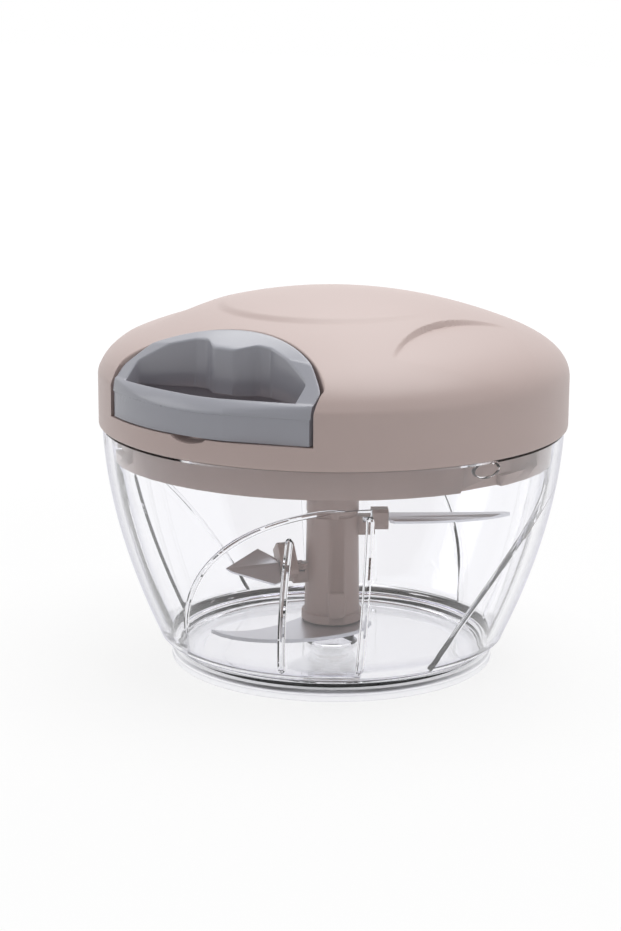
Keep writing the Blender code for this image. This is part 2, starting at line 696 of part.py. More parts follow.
def make_lid_base():
    inner = SKIRT_RADIUS - SKIRT_WALL
    bore = JOURNAL_RADIUS + GAP
    tower_top = REEL_BOTTOM - GAP
    profile = [
        (bore, tower_top), (TOWER_RADIUS, tower_top), (TOWER_RADIUS + 0.8 * MM, FLOOR_TOP),
        (HOUSING_RADIUS - HOUSING_WALL, FLOOR_TOP), (HOUSING_RADIUS - HOUSING_WALL, PLATE_BOTTOM - GAP),
        (HOUSING_RADIUS, PLATE_BOTTOM - GAP), (HOUSING_RADIUS, FLOOR_TOP), (inner, FLOOR_TOP),
        (inner, SKIRT_TOP), (COVER_INNER - GAP, SKIRT_TOP),
        (COVER_INNER - GAP, FLANGE_BOTTOM), (SKIRT_RADIUS, FLANGE_BOTTOM),
        (SKIRT_RADIUS, SKIRT_BOTTOM), (inner, SKIRT_BOTTOM), (inner, BASE_FLOOR), (bore, BASE_FLOOR),
    ]
    base = turned("lid_base", profile, ROUND_STEPS, True)
    lugs = []
    for i, angle in enumerate(PLATE_SCREW_ANGLES):
        lug = rod(f"lug_{i}", SCREW_BOSS, FLOOR_TOP - 1 * MM, PLATE_BOTTOM - GAP, 20)
        lugs.append(moved(as_mesh(lug), polar(PLATE_SCREW_CIRCLE, angle)))
    add(base, joined("plate_lugs", lugs))
    reel_room = HOUSING_RADIUS - HOUSING_WALL
    cut(base, ring("reel_room", TOWER_RADIUS + 3 * MM, reel_room, FLOOR_TOP, REEL_TOP + 9 * MM))
    cut(base, joined("channels", channels()))
    holes = []
    for angle in PLATE_SCREW_ANGLES:
        hole_low = PLATE_BOTTOM - SCREW_LENGTH - 1 * MM
        hole = rod("plate_hole", SCREW_SHANK + GAP, hole_low, PLATE_BOTTOM + 1 * MM, 16)
        holes.append(moved(as_mesh(hole), polar(PLATE_SCREW_CIRCLE, angle)))
    for angle in CASE_SCREW_ANGLES:
        hole = rod("case_hole", SCREW_SHANK + GAP, BASE_FLOOR - 1 * MM, FLOOR_TOP + 1 * MM, 16)
        holes.append(moved(as_mesh(hole), polar(CASE_SCREW_CIRCLE, angle)))
    left, right = -4 * MM, 16 * MM
    sill, head = DRUM_BOTTOM, REEL_TOP - 1 * MM
    outline = [(left, sill), (right, sill), (right, head), (left, head)]
    holes.append(wall_prism("window", outline, HOUSING_RADIUS - 12 * MM, HOUSING_RADIUS + 4 * MM, 0))
    cut(base, joined("base_holes", holes))
    return smooth(base)


def channels():
    """L-shaped bayonet channels in the skirt: down through its edge, then along over a ledge."""
    made = []
    floor = SKIRT_RADIUS - CHANNEL_DEPTH
    half = NUB_WIDTH / 2 + CHANNEL_MARGIN
    ledge = NUB_MIDDLE - NUB_HEIGHT / 2 - GAP
    for i in range(NUB_COUNT):
        angle = NUB_ANGLE + 2 * math.pi * i / NUB_COUNT
        mouth = [
            (-half - 2 * MM, SKIRT_BOTTOM - 1 * MM), (half, SKIRT_BOTTOM - 1 * MM),
            (half, FLANGE_BOTTOM), (-half, FLANGE_BOTTOM),
        ]
        made.append((mouth, angle))
        run = [(-half, ledge), (half, ledge), (half, FLANGE_BOTTOM), (-half, FLANGE_BOTTOM)]
        for share in (0.55, 1.0):
            made.append((run, angle + LOCK_TURN * share))
    tools = [
        wall_prism(f"channel_{k}", outline, floor, SKIRT_RADIUS + 2 * MM, angle)
        for k, (outline, angle) in enumerate(made)
    ]
    merged = []
    for mouth, run, far_end in zip(tools[0::3], tools[1::3], tools[2::3]):
        merged.append(add(add(mouth, run), far_end))
    return merged


def make_seal_ring():
    inner = SKIRT_RADIUS + GAP
    return smooth(ring("seal_ring", inner, COVER_INNER - GAP, LID_BOTTOM, LID_BOTTOM + SEAL_THICKNESS))


def make_reel():
    cup = DRUM_RADIUS - CUP_WALL
    floor = REEL_BOTTOM + CUP_FLOOR
    profile = [
        (REEL_RADIUS, REEL_TOP), (REEL_RADIUS, REEL_TOP - REEL_FLANGE), (DRUM_RADIUS, REEL_TOP - REEL_FLANGE),
        (DRUM_RADIUS, DRUM_BOTTOM), (REEL_RADIUS, DRUM_BOTTOM), (REEL_RADIUS, REEL_BOTTOM), (0, REEL_BOTTOM),
    ]
    reel = turned("reel", [(0, REEL_TOP)] + profile)
    cut(reel, rod("reel_cup", cup, floor, REEL_TOP + 1 * MM, 48))
    half = SQUARE_HALF + GAP
    square = [(-half, -half), (half, -half), (half, half), (-half, half)]
    cut(reel, prism("reel_square", square, REEL_BOTTOM - 1 * MM, floor + 1 * MM))
    return smooth(reel)


def make_drive_shaft():
    """Square end in the reel, round journal in the tower, collar under it and three dogs below."""
    journal_top = REEL_BOTTOM - GAP
    profile = [
        (0, journal_top), (JOURNAL_RADIUS, journal_top), (JOURNAL_RADIUS, COLLAR_TOP),
        (COLLAR_RADIUS, COLLAR_TOP), (COLLAR_RADIUS, DOG_TOP), (DOG_CORE, DOG_TOP),
        (DOG_CORE, DOG_BOTTOM), (0, DOG_BOTTOM),
    ]
    shaft = turned("drive_shaft", profile, 36)
    half = SQUARE_HALF
    square = [(-half, -half), (half, -half), (half, half), (-half, half)]
    top = REEL_BOTTOM + CUP_FLOOR - GAP
    add(shaft, prism("shaft_square", square, journal_top - 2 * MM, top))
    dogs = []
    for i in range(DOG_COUNT):
        outline = arc((0, 0), DOG_RADIUS, -TOOTH_HALF_ANGLE, TOOTH_HALF_ANGLE, 3) + [(DOG_CORE * 0.3, 0)]
        dog = prism(f"dog_{i}", outline, DOG_BOTTOM + 0.4 * MM, DOG_TOP + 0.5 * MM)
        dogs.append(moved(dog, (0, 0, 0), 2 * math.pi * i / DOG_COUNT))
    for dog in dogs:
        add(shaft, dog)
    cut(shaft, rod("screw_hole", SCREW_SHANK + GAP, top - SCREW_LENGTH, top + 1 * MM, 16))
    return smooth(shaft)


def make_clock_spring():
    """A flat strip wound in a spiral, from the post out to the cup's wall."""
    inner = POST_RADIUS + 2 * GAP
    outer = DRUM_RADIUS - CUP_WALL - 2 * GAP
    per_turn = 18
    count = SPRING_TURNS * per_turn
    mesh = bpy.data.meshes.new("clock_spring")
    low = PLATE_BOTTOM - GAP - SPRING_WIDTH
    line = [polar(inner + (outer - inner) * i / count, 2 * math.pi * i / per_turn) for i in range(count + 1)]
    points = [(p.x, p.y, low) for p in line] + [(p.x, p.y, low + SPRING_WIDTH) for p in line]
    step = len(line)
    faces = [(i, i + 1, i + 1 + step, i + step) for i in range(count)]
    mesh.from_pydata(points, [], faces)
    spring = bpy.data.objects.new("clock_spring", mesh)
    strip = spring.modifiers.new("strip", "SOLIDIFY")
    strip.thickness = SPRING_STRIP
    strip.offset = 0
    return spring


def make_spring_plate():
    """Plate over the reel, with screw ears and the post that holds the spring's inner end."""
    top = PLATE_BOTTOM + PLATE_THICKNESS
    post_low = PLATE_BOTTOM - SPRING_WIDTH + 1 * MM
    profile = [
        (0, top), (HOUSING_RADIUS, top), (HOUSING_RADIUS, PLATE_BOTTOM), (POST_RADIUS, PLATE_BOTTOM),
        (POST_RADIUS, post_low), (0, post_low),
    ]
    plate = turned("spring_plate", profile, 48)
    for i, angle in enumerate(PLATE_SCREW_ANGLES):
        ear = rod(f"ear_{i}", SCREW_BOSS, PLATE_BOTTOM, top, 20)
        add(plate, moved(as_mesh(ear), polar(PLATE_SCREW_CIRCLE, angle)))
        hole = rod(f"ear_hole_{i}", SCREW_SHANK + GAP, PLATE_BOTTOM - 1 * MM, top + 1 * MM, 16)
        cut(plate, moved(as_mesh(hole), polar(PLATE_SCREW_CIRCLE, angle)))
    return smooth(plate)


def make_screw(name, head_low, head_up):
    """A pan-head screw on Z; head_up tells whether its head is at the top."""
    line = [
        (0, SCREW_HEAD_HEIGHT), (SCREW_HEAD * 0.7, SCREW_HEAD_HEIGHT), (SCREW_HEAD, SCREW_HEAD_HEIGHT * 0.5),
        (SCREW_HEAD, 0), (SCREW_SHANK, 0), (SCREW_SHANK, -SCREW_LENGTH + 1.4 * MM), (0, -SCREW_LENGTH),
    ]
    screw = as_mesh(turned(name, line, 14))
    if not head_up:
        screw.data.transform(Matrix.Rotation(math.pi, 4, "X"))
    screw.data.transform(Matrix.Translation((0, 0, head_low)))
    return smooth(screw)


def handle_front():
    """A wide cone that slopes the handle's front rim up from its upright face."""
    side = LID_RADIUS - HANDLE_INSET
    top = SHOULDER_HEIGHT - HANDLE_SHOULDER
    low = HANDLE_BOTTOM - HANDLE_DEPTH
    apron = 5 * MM
    line = [
        (0, top + HANDLE_FRONT_ARC * HANDLE_FRONT_SLOPE),
        (HANDLE_FRONT_ARC + apron, top - apron * HANDLE_FRONT_SLOPE),
        (HANDLE_FRONT_ARC + apron, low), (0, low),
    ]
    return moved(as_mesh(turned("handle_front", line, 96)), (0, HANDLE_FRONT_ARC - side, 0))


def handle_underside():
    """The room inside the handle's skirt, under its rim and up to its front bar."""
    high = crown_height(HANDLE_BACK + HANDLE_BACK_RIM) - HANDLE_DEPTH
    low = HANDLE_BOTTOM - 9 * MM
    front = LID_RADIUS - HANDLE_FRONT_WALL - 2.2 * MM
    back = HANDLE_BACK - 9 * MM
    side_view = [(HANDLE_BACK + 12 * MM, high), (back, high), (back, low), (front, low), (front, HANDLE_BOTTOM)]
    room = prism("handle_underside", side_view, -HANDLE_HALF_WIDTH, HANDLE_HALF_WIDTH)
    room.data.transform(Matrix(((0, 0, -1, 0), (-1, 0, 0, 0), (0, 1, 0, 0), (0, 0, 0, 1))))
    keep(room, rod("front_bar_inside", front, low - 2 * MM, LID_TOP, 96))
    return keep(room, prism("skirt_inside", handle_outline(-HANDLE_SKIRT), low - 1 * MM, LID_TOP))


def make_pull_handle():
    handle = prism("pull_handle", handle_outline(), HANDLE_BOTTOM, LID_TOP + 9 * MM)
    keep(handle, lid_solid("handle_limit", HANDLE_INSET, HANDLE_BOTTOM - 9 * MM, HANDLE_SHOULDER))
    keep(handle, handle_front())
    cut(handle, prism("finger_opening", finger_outline(), HANDLE_BOTTOM - 2 * MM, LID_TOP + 9 * MM))
    cut(handle, handle_underside())
    cord_way = as_mesh(rod("cord_way", EYELET_BORE, HANDLE_BACK - 3 * MM, HANDLE_BACK + 6 * MM, 14))
    cord_way.data.transform(Matrix.Translation((0, 0, CORD_HEIGHT)) @ Matrix.Rotation(math.pi / 2, 4, "X"))
    cut(handle, cord_way)
    seat = rod("knot_seat", KNOT_RADIUS + 2 * GAP, HANDLE_BOTTOM - 2 * MM, CORD_HEIGHT + KNOT_RADIUS + GAP, 20)
    cut(handle, moved(as_mesh(seat), (0, -HANDLE_BACK - 6.4 * MM, 0)))
    return smooth(handle)


def make_cord_turns():
    """The turns on the reel, one unbroken helix."""
    per_turn = 24
    count = round(CORD_TURNS * per_turn)
    height = DRUM_BOTTOM + (DRUM_HEIGHT - CORD_TURNS * CORD_PITCH) / 2
    points = [
        polar(WIND_RADIUS, 2 * math.pi * i / per_turn, height + CORD_PITCH * i / per_turn)
        for i in range(count + 1)
    ]
    return smooth(tube("cord_turns", points, CORD_DIAMETER / 2, 1))


def lead_start():
    """Where the lead is clear of the turning winding, on the tangent from eyelet to reel."""
    back = HANDLE_BACK - 3 * MM
    tangent = math.acos(WIND_RADIUS / back)
    touch = polar(WIND_RADIUS, tangent, CORD_HEIGHT)
    eyelet = Vector((0, -back, CORD_HEIGHT))
    clear = math.sqrt((WIND_RADIUS + CORD_DIAMETER + GAP) ** 2 - WIND_RADIUS ** 2)
    return touch + (eyelet - touch).normalized() * (clear + GAP), eyelet


def make_cord_lead():
    """Straight from the reel to the eyelet, then a soft bend and straight out to the handle."""
    start, eyelet = lead_start()
    end = Vector((0, -HANDLE_BACK + RECESS_GAP / 2, CORD_HEIGHT))
    turn_in = eyelet - (eyelet - start).normalized() * 3 * MM
    turn_out = eyelet + Vector((0, -1.6 * MM, 0))
    points = [start, start.lerp(turn_in, 0.5)]
    for i in range(5):
        points.append(turn_in.lerp(eyelet, i / 4).lerp(eyelet.lerp(turn_out, i / 4), i / 4))
    points.append(end)
    return smooth(tube("cord_lead", points, CORD_DIAMETER / 2, 2))


def make_cord_eyelet():
    """A flanged sleeve in the recess's back wall, with the cord's bore through it."""
    wall_inside = HANDLE_BACK - RECESS_GAP - LID_WALL
    front = HANDLE_BACK - RECESS_GAP
    profile = [
        (EYELET_FLANGE, wall_inside - GAP), (EYELET_FLANGE, wall_inside - GAP - 1.0 * MM),
        (EYELET_BORE, wall_inside - GAP - 1.0 * MM), (EYELET_BORE, front), (EYELET_RADIUS, front),
        (EYELET_RADIUS, wall_inside - GAP),
    ]
    eyelet = as_mesh(turned("cord_eyelet", profile, SMALL_STEPS, True))
    eyelet.data.transform(Matrix.Translation((0, 0, CORD_HEIGHT)) @ Matrix.Rotation(math.pi / 2, 4, "X"))
    return smooth(eyelet)


def make_cord_knot():
    """The cord's end tied in the handle: a short stub and a round knot."""
    seat = HANDLE_BACK + 6.4 * MM
    count = 6
    ball = [(KNOT_RADIUS * math.sin(math.pi * i / count), KNOT_RADIUS * math.cos(math.pi * i / count))
            for i in range(count + 1)]
    ball[0] = (0, KNOT_RADIUS)
    ball[-1] = (0, -KNOT_RADIUS)
    knot = moved(as_mesh(turned("cord_knot", ball, 16)), (0, -seat, CORD_HEIGHT))
    stub = [(0, -HANDLE_BACK - 0.2 * MM, CORD_HEIGHT), (0, -seat, CORD_HEIGHT)]
    add(knot, tube("knot_stub", stub, CORD_DIAMETER / 2, 2))
    return smooth(knot)


def make_centre_pin():
    low = BOWL_FLOOR + 0.6 * MM + GAP
    edge = 0.6 * MM
    profile = [
        (0, PIN_TOP), (PIN_RADIUS - edge, PIN_TOP), (PIN_RADIUS, PIN_TOP - edge), (PIN_RADIUS, low), (0, low),
    ]
    return smooth(turned("centre_pin", profile, 20))


def make_blade_shaft():
    foot = SHAFT_BOTTOM + SHAFT_FLANGE
    collar = SHAFT_TOP - SHAFT_COLLAR
    edge = 0.5 * MM
    profile = [
        (0, SHAFT_TOP), (SHAFT_RADIUS - edge, SHAFT_TOP), (SHAFT_RADIUS, SHAFT_TOP - edge),
        (SHAFT_RADIUS, collar + edge), (SHAFT_RADIUS - edge, collar), (SHAFT_RADIUS - edge / 5, collar - edge),
        (SHAFT_RADIUS + SHAFT_FLARE, foot), (SHAFT_FLANGE_RADIUS, foot - 0.6 * MM),
        (SHAFT_FLANGE_RADIUS, SHAFT_BOTTOM), (STUB_RADIUS, SHAFT_BOTTOM), (STUB_RADIUS, STUB_BOTTOM),
        (0, STUB_BOTTOM),
    ]
    shaft = turned("blade_shaft", profile, 36)
    for blade, name in ((UPPER_BLADE, "upper"), (MIDDLE_BLADE, "middle")):
        add(shaft, blade_holder(name, blade))
    add(shaft, shaft_lug())
    hollow = [
        (0, SHAFT_TOP + 1 * MM), (SOCKET_RADIUS, SHAFT_TOP + 1 * MM), (SOCKET_RADIUS, SOCKET_BOTTOM),
        (DOG_CORE + 3 * GAP, SOCKET_BOTTOM), (DOG_CORE + 3 * GAP, PIN_TOP + 4 * MM), (0, PIN_TOP + 4 * MM),
    ]
    cut(shaft, turned("socket", hollow, 36))
    for i in range(DOG_COUNT):
        swing = TOOTH_HALF_ANGLE
        reach = SOCKET_RADIUS + SOCKET_WALL / 2
        outline = arc((0, 0), reach, -swing, swing, 3) + arc((0, 0), DOG_CORE + 2 * GAP, swing, -swing, 2)
        tooth = prism(f"tooth_{i}", outline, SOCKET_BOTTOM - 1 * MM, SHAFT_TOP - 1.2 * MM)
        add(shaft, moved(tooth, (0, 0, 0), 2 * math.pi * (i + 0.5) / DOG_COUNT))
    cut(shaft, rod("pin_bore", PIN_RADIUS + GAP, STUB_BOTTOM - 1 * MM, PIN_TOP + GAP, 20))
    for blade, name in ((UPPER_BLADE, "upper"), (MIDDLE_BLADE, "middle")):
        cut(shaft, blade_slot(name, blade))
    return smooth(shaft)


def at_blade(item, blade):
    """Pitches a mesh made along -Y about the blade's height and turns it to the blade's angle."""
    height = Vector((0, 0, blade["height"]))
    pitch = Matrix.Translation(height) @ Matrix.Rotation(blade["pitch"], 4, "Y") @ Matrix.Translation(-height)
    item.data.transform(Matrix.Rotation(blade["angle"], 4, "Z") @ pitch)
    return item


def blade_holder(name, blade):
    """An arm from the shaft and a block at its end, pitched like the blade that it holds."""
    low = blade["height"] - HOLDER_HEIGHT / 2
    high = blade["height"] + HOLDER_HEIGHT / 2
    left, right = blade["block"]
    edge = 0.8 * MM
    near = HOLDER_REACH - HOLDER_LENGTH
    outline = [(left, low), (right, low), (right, high - edge), (right - edge, high), (left + edge, high),
               (left, high - edge)]
    block = at_blade(wall_prism(f"{name}_block", outline, near, HOLDER_REACH, 0), blade)
    half = HOLDER_WIDTH * 0.3
    arm = [(-half, low - ARM_DROP), (half, low - ARM_DROP), (half, high - ARM_DROP), (-half, high - ARM_DROP)]
    return add(block, wall_prism(f"{name}_arm", arm, SHAFT_RADIUS - 1.2 * MM, near + 1 * MM, blade["angle"]))


def blade_slot(name, blade):
    half = TANG_WIDTH / 2 + GAP
    tall = BLADE_THICKNESS / 2 + GAP
    low = blade["height"] - tall
    high = blade["height"] + tall
    outline = [(-half, low), (half, low), (half, high), (-half, high)]
    slot = wall_prism(f"{name}_slot", outline, SHAFT_RADIUS + 1.0 * MM, HOLDER_REACH + 1 * MM, 0)
    return at_blade(slot, blade)


def shaft_lug():
    """A small lug with a round top that stands on the flange."""
    half = LUG_WIDTH / 2
    low = SHAFT_BOTTOM + SHAFT_FLANGE - 1 * MM
    outline = [(-half, low), (half, low)] + arc((0, low + LUG_HEIGHT - half + 1 * MM), half, 0, math.pi, 6)
    reach = SHAFT_RADIUS + LUG_PROUD
    return wall_prism("shaft_lug", outline, SHAFT_RADIUS - 1.4 * MM, reach, LUG_ANGLE)


def upper_outline(root, reach):
    """Straight back and a swept cutting edge, as (outwards, sideways)."""
    back = BLADE_WIDTH * 0.42
    front = -BLADE_WIDTH * 0.58
    run = reach - root
    sweep = bezier((root + 1.2 * MM, front), (root + run * 0.45, front * 1.15),
                   (root + run * 0.8, front * 0.45), (reach, back * 0.8), 9)
    return [(root, front * 0.8)] + sweep + [(reach - 1.6 * MM, back), (root, back)]


def middle_outline(root, reach):
    """A short leaf with a slanted tip, as (outwards, sideways)."""
    run = reach - root
    return [
        (root, -BLADE_WIDTH * 0.28), (root + run * 0.33, -BLADE_WIDTH * 0.69), (reach, -BLADE_WIDTH * 0.11),
        (reach - run * 0.1, BLADE_WIDTH * 0.04), (root + run * 0.12, BLADE_WIDTH * 0.57), (root, BLADE_WIDTH * 0.5),
    ]


def make_blade(name, blade, outline):
    """A flat blade with a tang for its holder's slot and its edges ground thin on one side."""
    half = TANG_WIDTH / 2
    root = HOLDER_REACH + GAP
    tang = SHAFT_RADIUS + 1.3 * MM
    line = [(tang, -half), (root, -half)] + outline(root, blade["reach"]) + [(root, half), (tang, half)]
    high = blade["height"] + BLADE_THICKNESS / 2
    flat = ground(prism(name, line, high - BLADE_THICKNESS, high), high, root + 1.0 * MM, 0.0)
    flat.data.transform(Matrix.Rotation(-math.pi / 2, 4, "Z"))
    return smooth(at_blade(flat, blade), 20)


def ground(item, high, start, side):
    """Grinds the upper face down along the cutting side, past the start of the edge."""
    for vertex in item.data.vertices:
        if vertex.co.x > start and vertex.co.y < side and vertex.co.z > high - BLADE_THICKNESS / 2:
            vertex.co.z -= BLADE_THICKNESS * 0.35
    return item


def make_lower_blade():
    """A broad sickle under the shaft's flange, with a round eye that the stub passes through."""
    reach = LOWER_BLADE_REACH
    belly = LOWER_BLADE_BELLY
    hub = SHAFT_FLANGE_RADIUS - 0.6 * MM
    high = SHAFT_BOTTOM - GAP
    low = high - BLADE_THICKNESS
    heel = (-hub * 1.2, hub)
    edge = bezier(heel, (-hub * 0.4, belly * 1.25), (reach * 0.85, belly * 1.3), (reach, 0), 14)
    spine = bezier((reach, 0), (reach * 0.8, belly * 0.45), (reach * 0.55, belly * 0.3), (hub * 0.75, -hub * 0.7), 8)
    tail = arc((0, 0), hub, math.radians(-43), math.radians(-200), 9)
    blade = prism("lower_blade", list(reversed(edge + spine[1:] + tail[1:])), low, high)
    cut(blade, rod("blade_eye", STUB_RADIUS + GAP, low - 1 * MM, high + 1 * MM, 28))
    blade = as_mesh(blade)
    blade.name = "lower_blade"
    blade.data.transform(Matrix.Rotation(LOWER_BLADE_ANGLE - math.pi / 2, 4, "Z"))
    return smooth(blade, 20)


def make_blade_retainer():
    high = SHAFT_BOTTOM - BLADE_THICKNESS - 2 * GAP
    return smooth(ring("blade_retainer", STUB_RADIUS + GAP, RETAINER_RADIUS, high - 0.8 * MM, high, 28))


def build():
    clear_scene()
    body = axis_empty("bowl_body")
    part(make_bowl(), "clear", body)
    part(make_foot_ring(), "soft_clear", body)
    part(make_centre_pin(), "steel", body)

    blades = axis_empty("blades_axis", body)
    part(make_blade_shaft(), "beige", blades)
    part(make_blade("upper_blade", UPPER_BLADE, upper_outline), "steel", blades)
    part(make_blade("middle_blade", MIDDLE_BLADE, middle_outline), "steel", blades)
    part(make_lower_blade(), "steel", blades)
    part(make_blade_retainer(), "steel", blades)

    lift = axis_empty("lid_lift", body)
    part(make_seal_ring(), "silicone", lift)
    lid = axis_empty("lid_turn", lift)
    part(make_lid_cover(), "beige", lid)
    part(make_lid_base(), "beige", lid)
    part(make_spring_plate(), "white_plastic", lid)
    part(make_clock_spring(), "spring_steel", lid)
    part(make_cord_eyelet(), "steel", lid)
    part(make_cord_lead(), "cord", lid)
    for i, angle in enumerate(CASE_SCREW_ANGLES):
        at = polar(CASE_SCREW_CIRCLE, angle)
        part(moved(make_screw(f"case_screw_{i + 1}", BASE_FLOOR - GAP, False), at), "steel", lid)
    for i, angle in enumerate(PLATE_SCREW_ANGLES):
        seat = PLATE_BOTTOM + PLATE_THICKNESS + GAP
        at = polar(PLATE_SCREW_CIRCLE, angle)
        part(moved(make_screw(f"plate_screw_{i + 1}", seat, True), at), "steel", lid)

    reel = axis_empty("reel_axis", lid)
    part(make_reel(), "white_plastic", reel)
    part(make_drive_shaft(), "white_plastic", reel)
    part(make_cord_turns(), "cord", reel)
    part(make_screw("reel_screw", REEL_BOTTOM + CUP_FLOOR, True), "steel", reel)

    handle = axis_empty("handle_slide", lid)
    part(make_pull_handle(), "grey", handle)
    part(make_cord_knot(), "cord", handle)


build()
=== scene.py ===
# %% [markdown]
# # A pull-cord food chopper, dressed for its picture
# The chopper has a clear bowl, a domed lid with a grey pull handle, and three blades on an upright
# shaft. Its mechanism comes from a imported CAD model, which is loaded first and never changed. The
# pieces made here are finer versions of what can be seen, and each one rides on the body that it
# belongs to, so that everything still moves.

# %% Load the fixed frame
import math

import bpy
import numpy as np
from mathutils import Matrix, Vector


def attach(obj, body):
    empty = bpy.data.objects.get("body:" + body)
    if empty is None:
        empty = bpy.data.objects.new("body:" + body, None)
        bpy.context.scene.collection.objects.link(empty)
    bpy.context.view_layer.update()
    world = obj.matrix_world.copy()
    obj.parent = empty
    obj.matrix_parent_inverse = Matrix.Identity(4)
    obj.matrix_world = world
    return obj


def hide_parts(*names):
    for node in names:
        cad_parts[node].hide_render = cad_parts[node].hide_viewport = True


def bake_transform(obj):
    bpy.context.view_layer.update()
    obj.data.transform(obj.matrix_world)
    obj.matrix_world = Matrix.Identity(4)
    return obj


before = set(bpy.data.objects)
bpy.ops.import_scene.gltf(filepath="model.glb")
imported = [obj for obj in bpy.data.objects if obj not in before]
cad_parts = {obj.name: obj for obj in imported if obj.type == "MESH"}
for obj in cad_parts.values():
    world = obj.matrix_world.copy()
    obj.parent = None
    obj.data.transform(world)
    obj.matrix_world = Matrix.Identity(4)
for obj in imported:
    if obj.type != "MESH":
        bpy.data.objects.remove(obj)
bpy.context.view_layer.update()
bpy.context.scene.view_settings.view_transform = "Standard"
MM = 0.001

# %% [markdown]
# ## Small tools
# An operator acts on whatever is selected, so each step starts from an empty selection. These few
# helpers select a piece, run a modifier and keep its result, and weld a mesh.

# %% Selecting, applying and welding


def only(item):
    """Makes one object the selected and active one."""
    bpy.ops.object.select_all(action="DESELECT")
    item.select_set(True)
    bpy.context.view_layer.objects.active = item
    return item


def applied(item, kind, **settings):
    """Adds a modifier to an object and keeps its result."""
    only(item)
    modifier = item.modifiers.new(kind.lower(), kind)
    for key, value in settings.items():
        setattr(modifier, key, value)
    bpy.ops.object.modifier_apply(modifier=modifier.name)
    return item


def welded(item, distance=0.002 * MM):
    """Merges doubles and turns all faces outwards."""
    only(item)
    bpy.ops.object.mode_set(mode="EDIT")
    bpy.ops.mesh.select_all(action="SELECT")
    bpy.ops.mesh.remove_doubles(threshold=distance)
    bpy.ops.mesh.normals_make_consistent(inside=False)
    bpy.ops.object.mode_set(mode="OBJECT")
    return item


def combined(item, tool, operation):
    """Cuts, joins or intersects with a second shape, which is used up."""
    applied(item, "BOOLEAN", object=tool, operation=operation, solver="EXACT")
    bpy.data.objects.remove(tool)
    return item


# %% [markdown]
# Most of a moulded kitchen tool is round. A profile drawn at one side and spun about the axis gives
# a round body with even faces, and the number of steps decides how smooth its outline is.

# %% Spinning a profile


def spun(name, profile, steps=192, closed=True):
    """A profile of (radius, height) spun a full turn about Z."""
    edges = [(i, i + 1) for i in range(len(profile) - 1)]
    if closed:
        edges.append((len(profile) - 1, 0))
    mesh = bpy.data.meshes.new(name)
    mesh.from_pydata([(radius, 0, height) for radius, height in profile], edges, [])
    item = bpy.data.objects.new(name, mesh)
    bpy.context.collection.objects.link(item)
    only(item)
    bpy.ops.object.mode_set(mode="EDIT")
    bpy.ops.mesh.select_all(action="SELECT")
    bpy.ops.mesh.spin(steps=steps, angle=2 * math.pi, center=(0, 0, 0), axis=(0, 0, 1))
    bpy.ops.object.mode_set(mode="OBJECT")
    return welded(item)


# %% [markdown]
# Some shapes change their section on the way: the handle's ring, a ground blade, a cutter that
# flares. They're lofts: a row of outlines with the same number of points, skinned from one to the
# next. A loft either ends in two flat caps or runs round into itself.

# %% Lofting outlines


def loft(name, rows, ring=False):
    """Skins a list of outlines with equal counts of points, and closes both ends or the ring."""
    count = len(rows[0])
    mesh = bpy.data.meshes.new(name)
    points = [point for row in rows for point in row]
    faces = []
    last = len(rows) if ring else len(rows) - 1
    for i in range(last):
        here = i * count
        there = ((i + 1) % len(rows)) * count
        for j in range(count):
            after = (j + 1) % count
            faces.append((here + j, here + after, there + after, there + j))
    if not ring:
        faces.append(tuple(reversed(range(count))))
        faces.append(tuple(range((len(rows) - 1) * count, len(rows) * count)))
    mesh.from_pydata(points, [], faces)
    item = bpy.data.objects.new(name, mesh)
    bpy.context.collection.objects.link(item)
    return welded(item)


def prism(name, outline, low, high):
    """A flat outline pulled up from one height to another."""
    return loft(name, [[(x, y, low) for x, y in outline], [(x, y, high) for x, y in outline]])


def turned_to(item, angle):
    """Turns a piece's mesh about the chopper's axis, anticlockwise from above."""
    item.data.transform(Matrix.Rotation(angle, 4, "Z"))
    return item


def wall_prism(name, outline, near, far, angle):
    """An outline in (sideways, up), pulled outwards from near to far at an angle from -Y."""
    item = loft(name, [[(x, -near, z) for x, z in outline], [(x, -far, z) for x, z in outline]])
    return turned_to(item, angle)


# %% [markdown]
# ## Curves that the outlines are drawn with
# A Bezier for the free curves, an arc for round ones, and a function that rounds a sharp outline's
# corners. `smoothstep` is an even S from 0 to 1, for edges that fade.

# %% Curve helpers


def bezier(start, first, second, end, count):
    t = np.linspace(0, 1, count + 1)[:, None]
    points = [np.array(p)[None, :] for p in (start, first, second, end)]
    weights = ((1 - t) ** 3, 3 * t * (1 - t) ** 2, 3 * t ** 2 * (1 - t), t ** 3)
    return [tuple(p) for p in sum(w * p for w, p in zip(weights, points))]


def arc(centre, radius, start, end, count):
    angles = np.linspace(start, end, count + 1)
    return [(centre[0] + radius * math.cos(a), centre[1] + radius * math.sin(a)) for a in angles]


def rounded(points, radius, count=6):
    """A closed outline with each corner sharper than about 25 degrees turned into an arc."""
    made = []
    for i, corner in enumerate(points):
        corner = Vector(corner)
        before = Vector(points[i - 1]) - corner
        after = Vector(points[(i + 1) % len(points)]) - corner
        half = before.angle(after) / 2
        if half > math.radians(77):
            made.append(tuple(corner))
            continue
        reach = min(radius / math.tan(half), before.length * 0.45, after.length * 0.45)
        bend = reach * math.tan(half)
        inward = (before.normalized() + after.normalized()).normalized()
        middle = corner + inward * bend / math.sin(half)
        first = corner + before.normalized() * reach - middle
        last = corner + after.normalized() * reach - middle
        for k in range(count + 1):
            made.append(tuple(middle + first.lerp(last, k / count).normalized() * bend))
    return made


def smoothstep(value):
    value = np.clip(value, 0, 1)
    return value * value * (3 - 2 * value)


# %% [markdown]
# ## Materials
# Each finish is named for the plastic or metal that it stands for. Colours are written as sRGB hex
# values, as a colour picker shows them, and turned to the linear values that Blender works with.

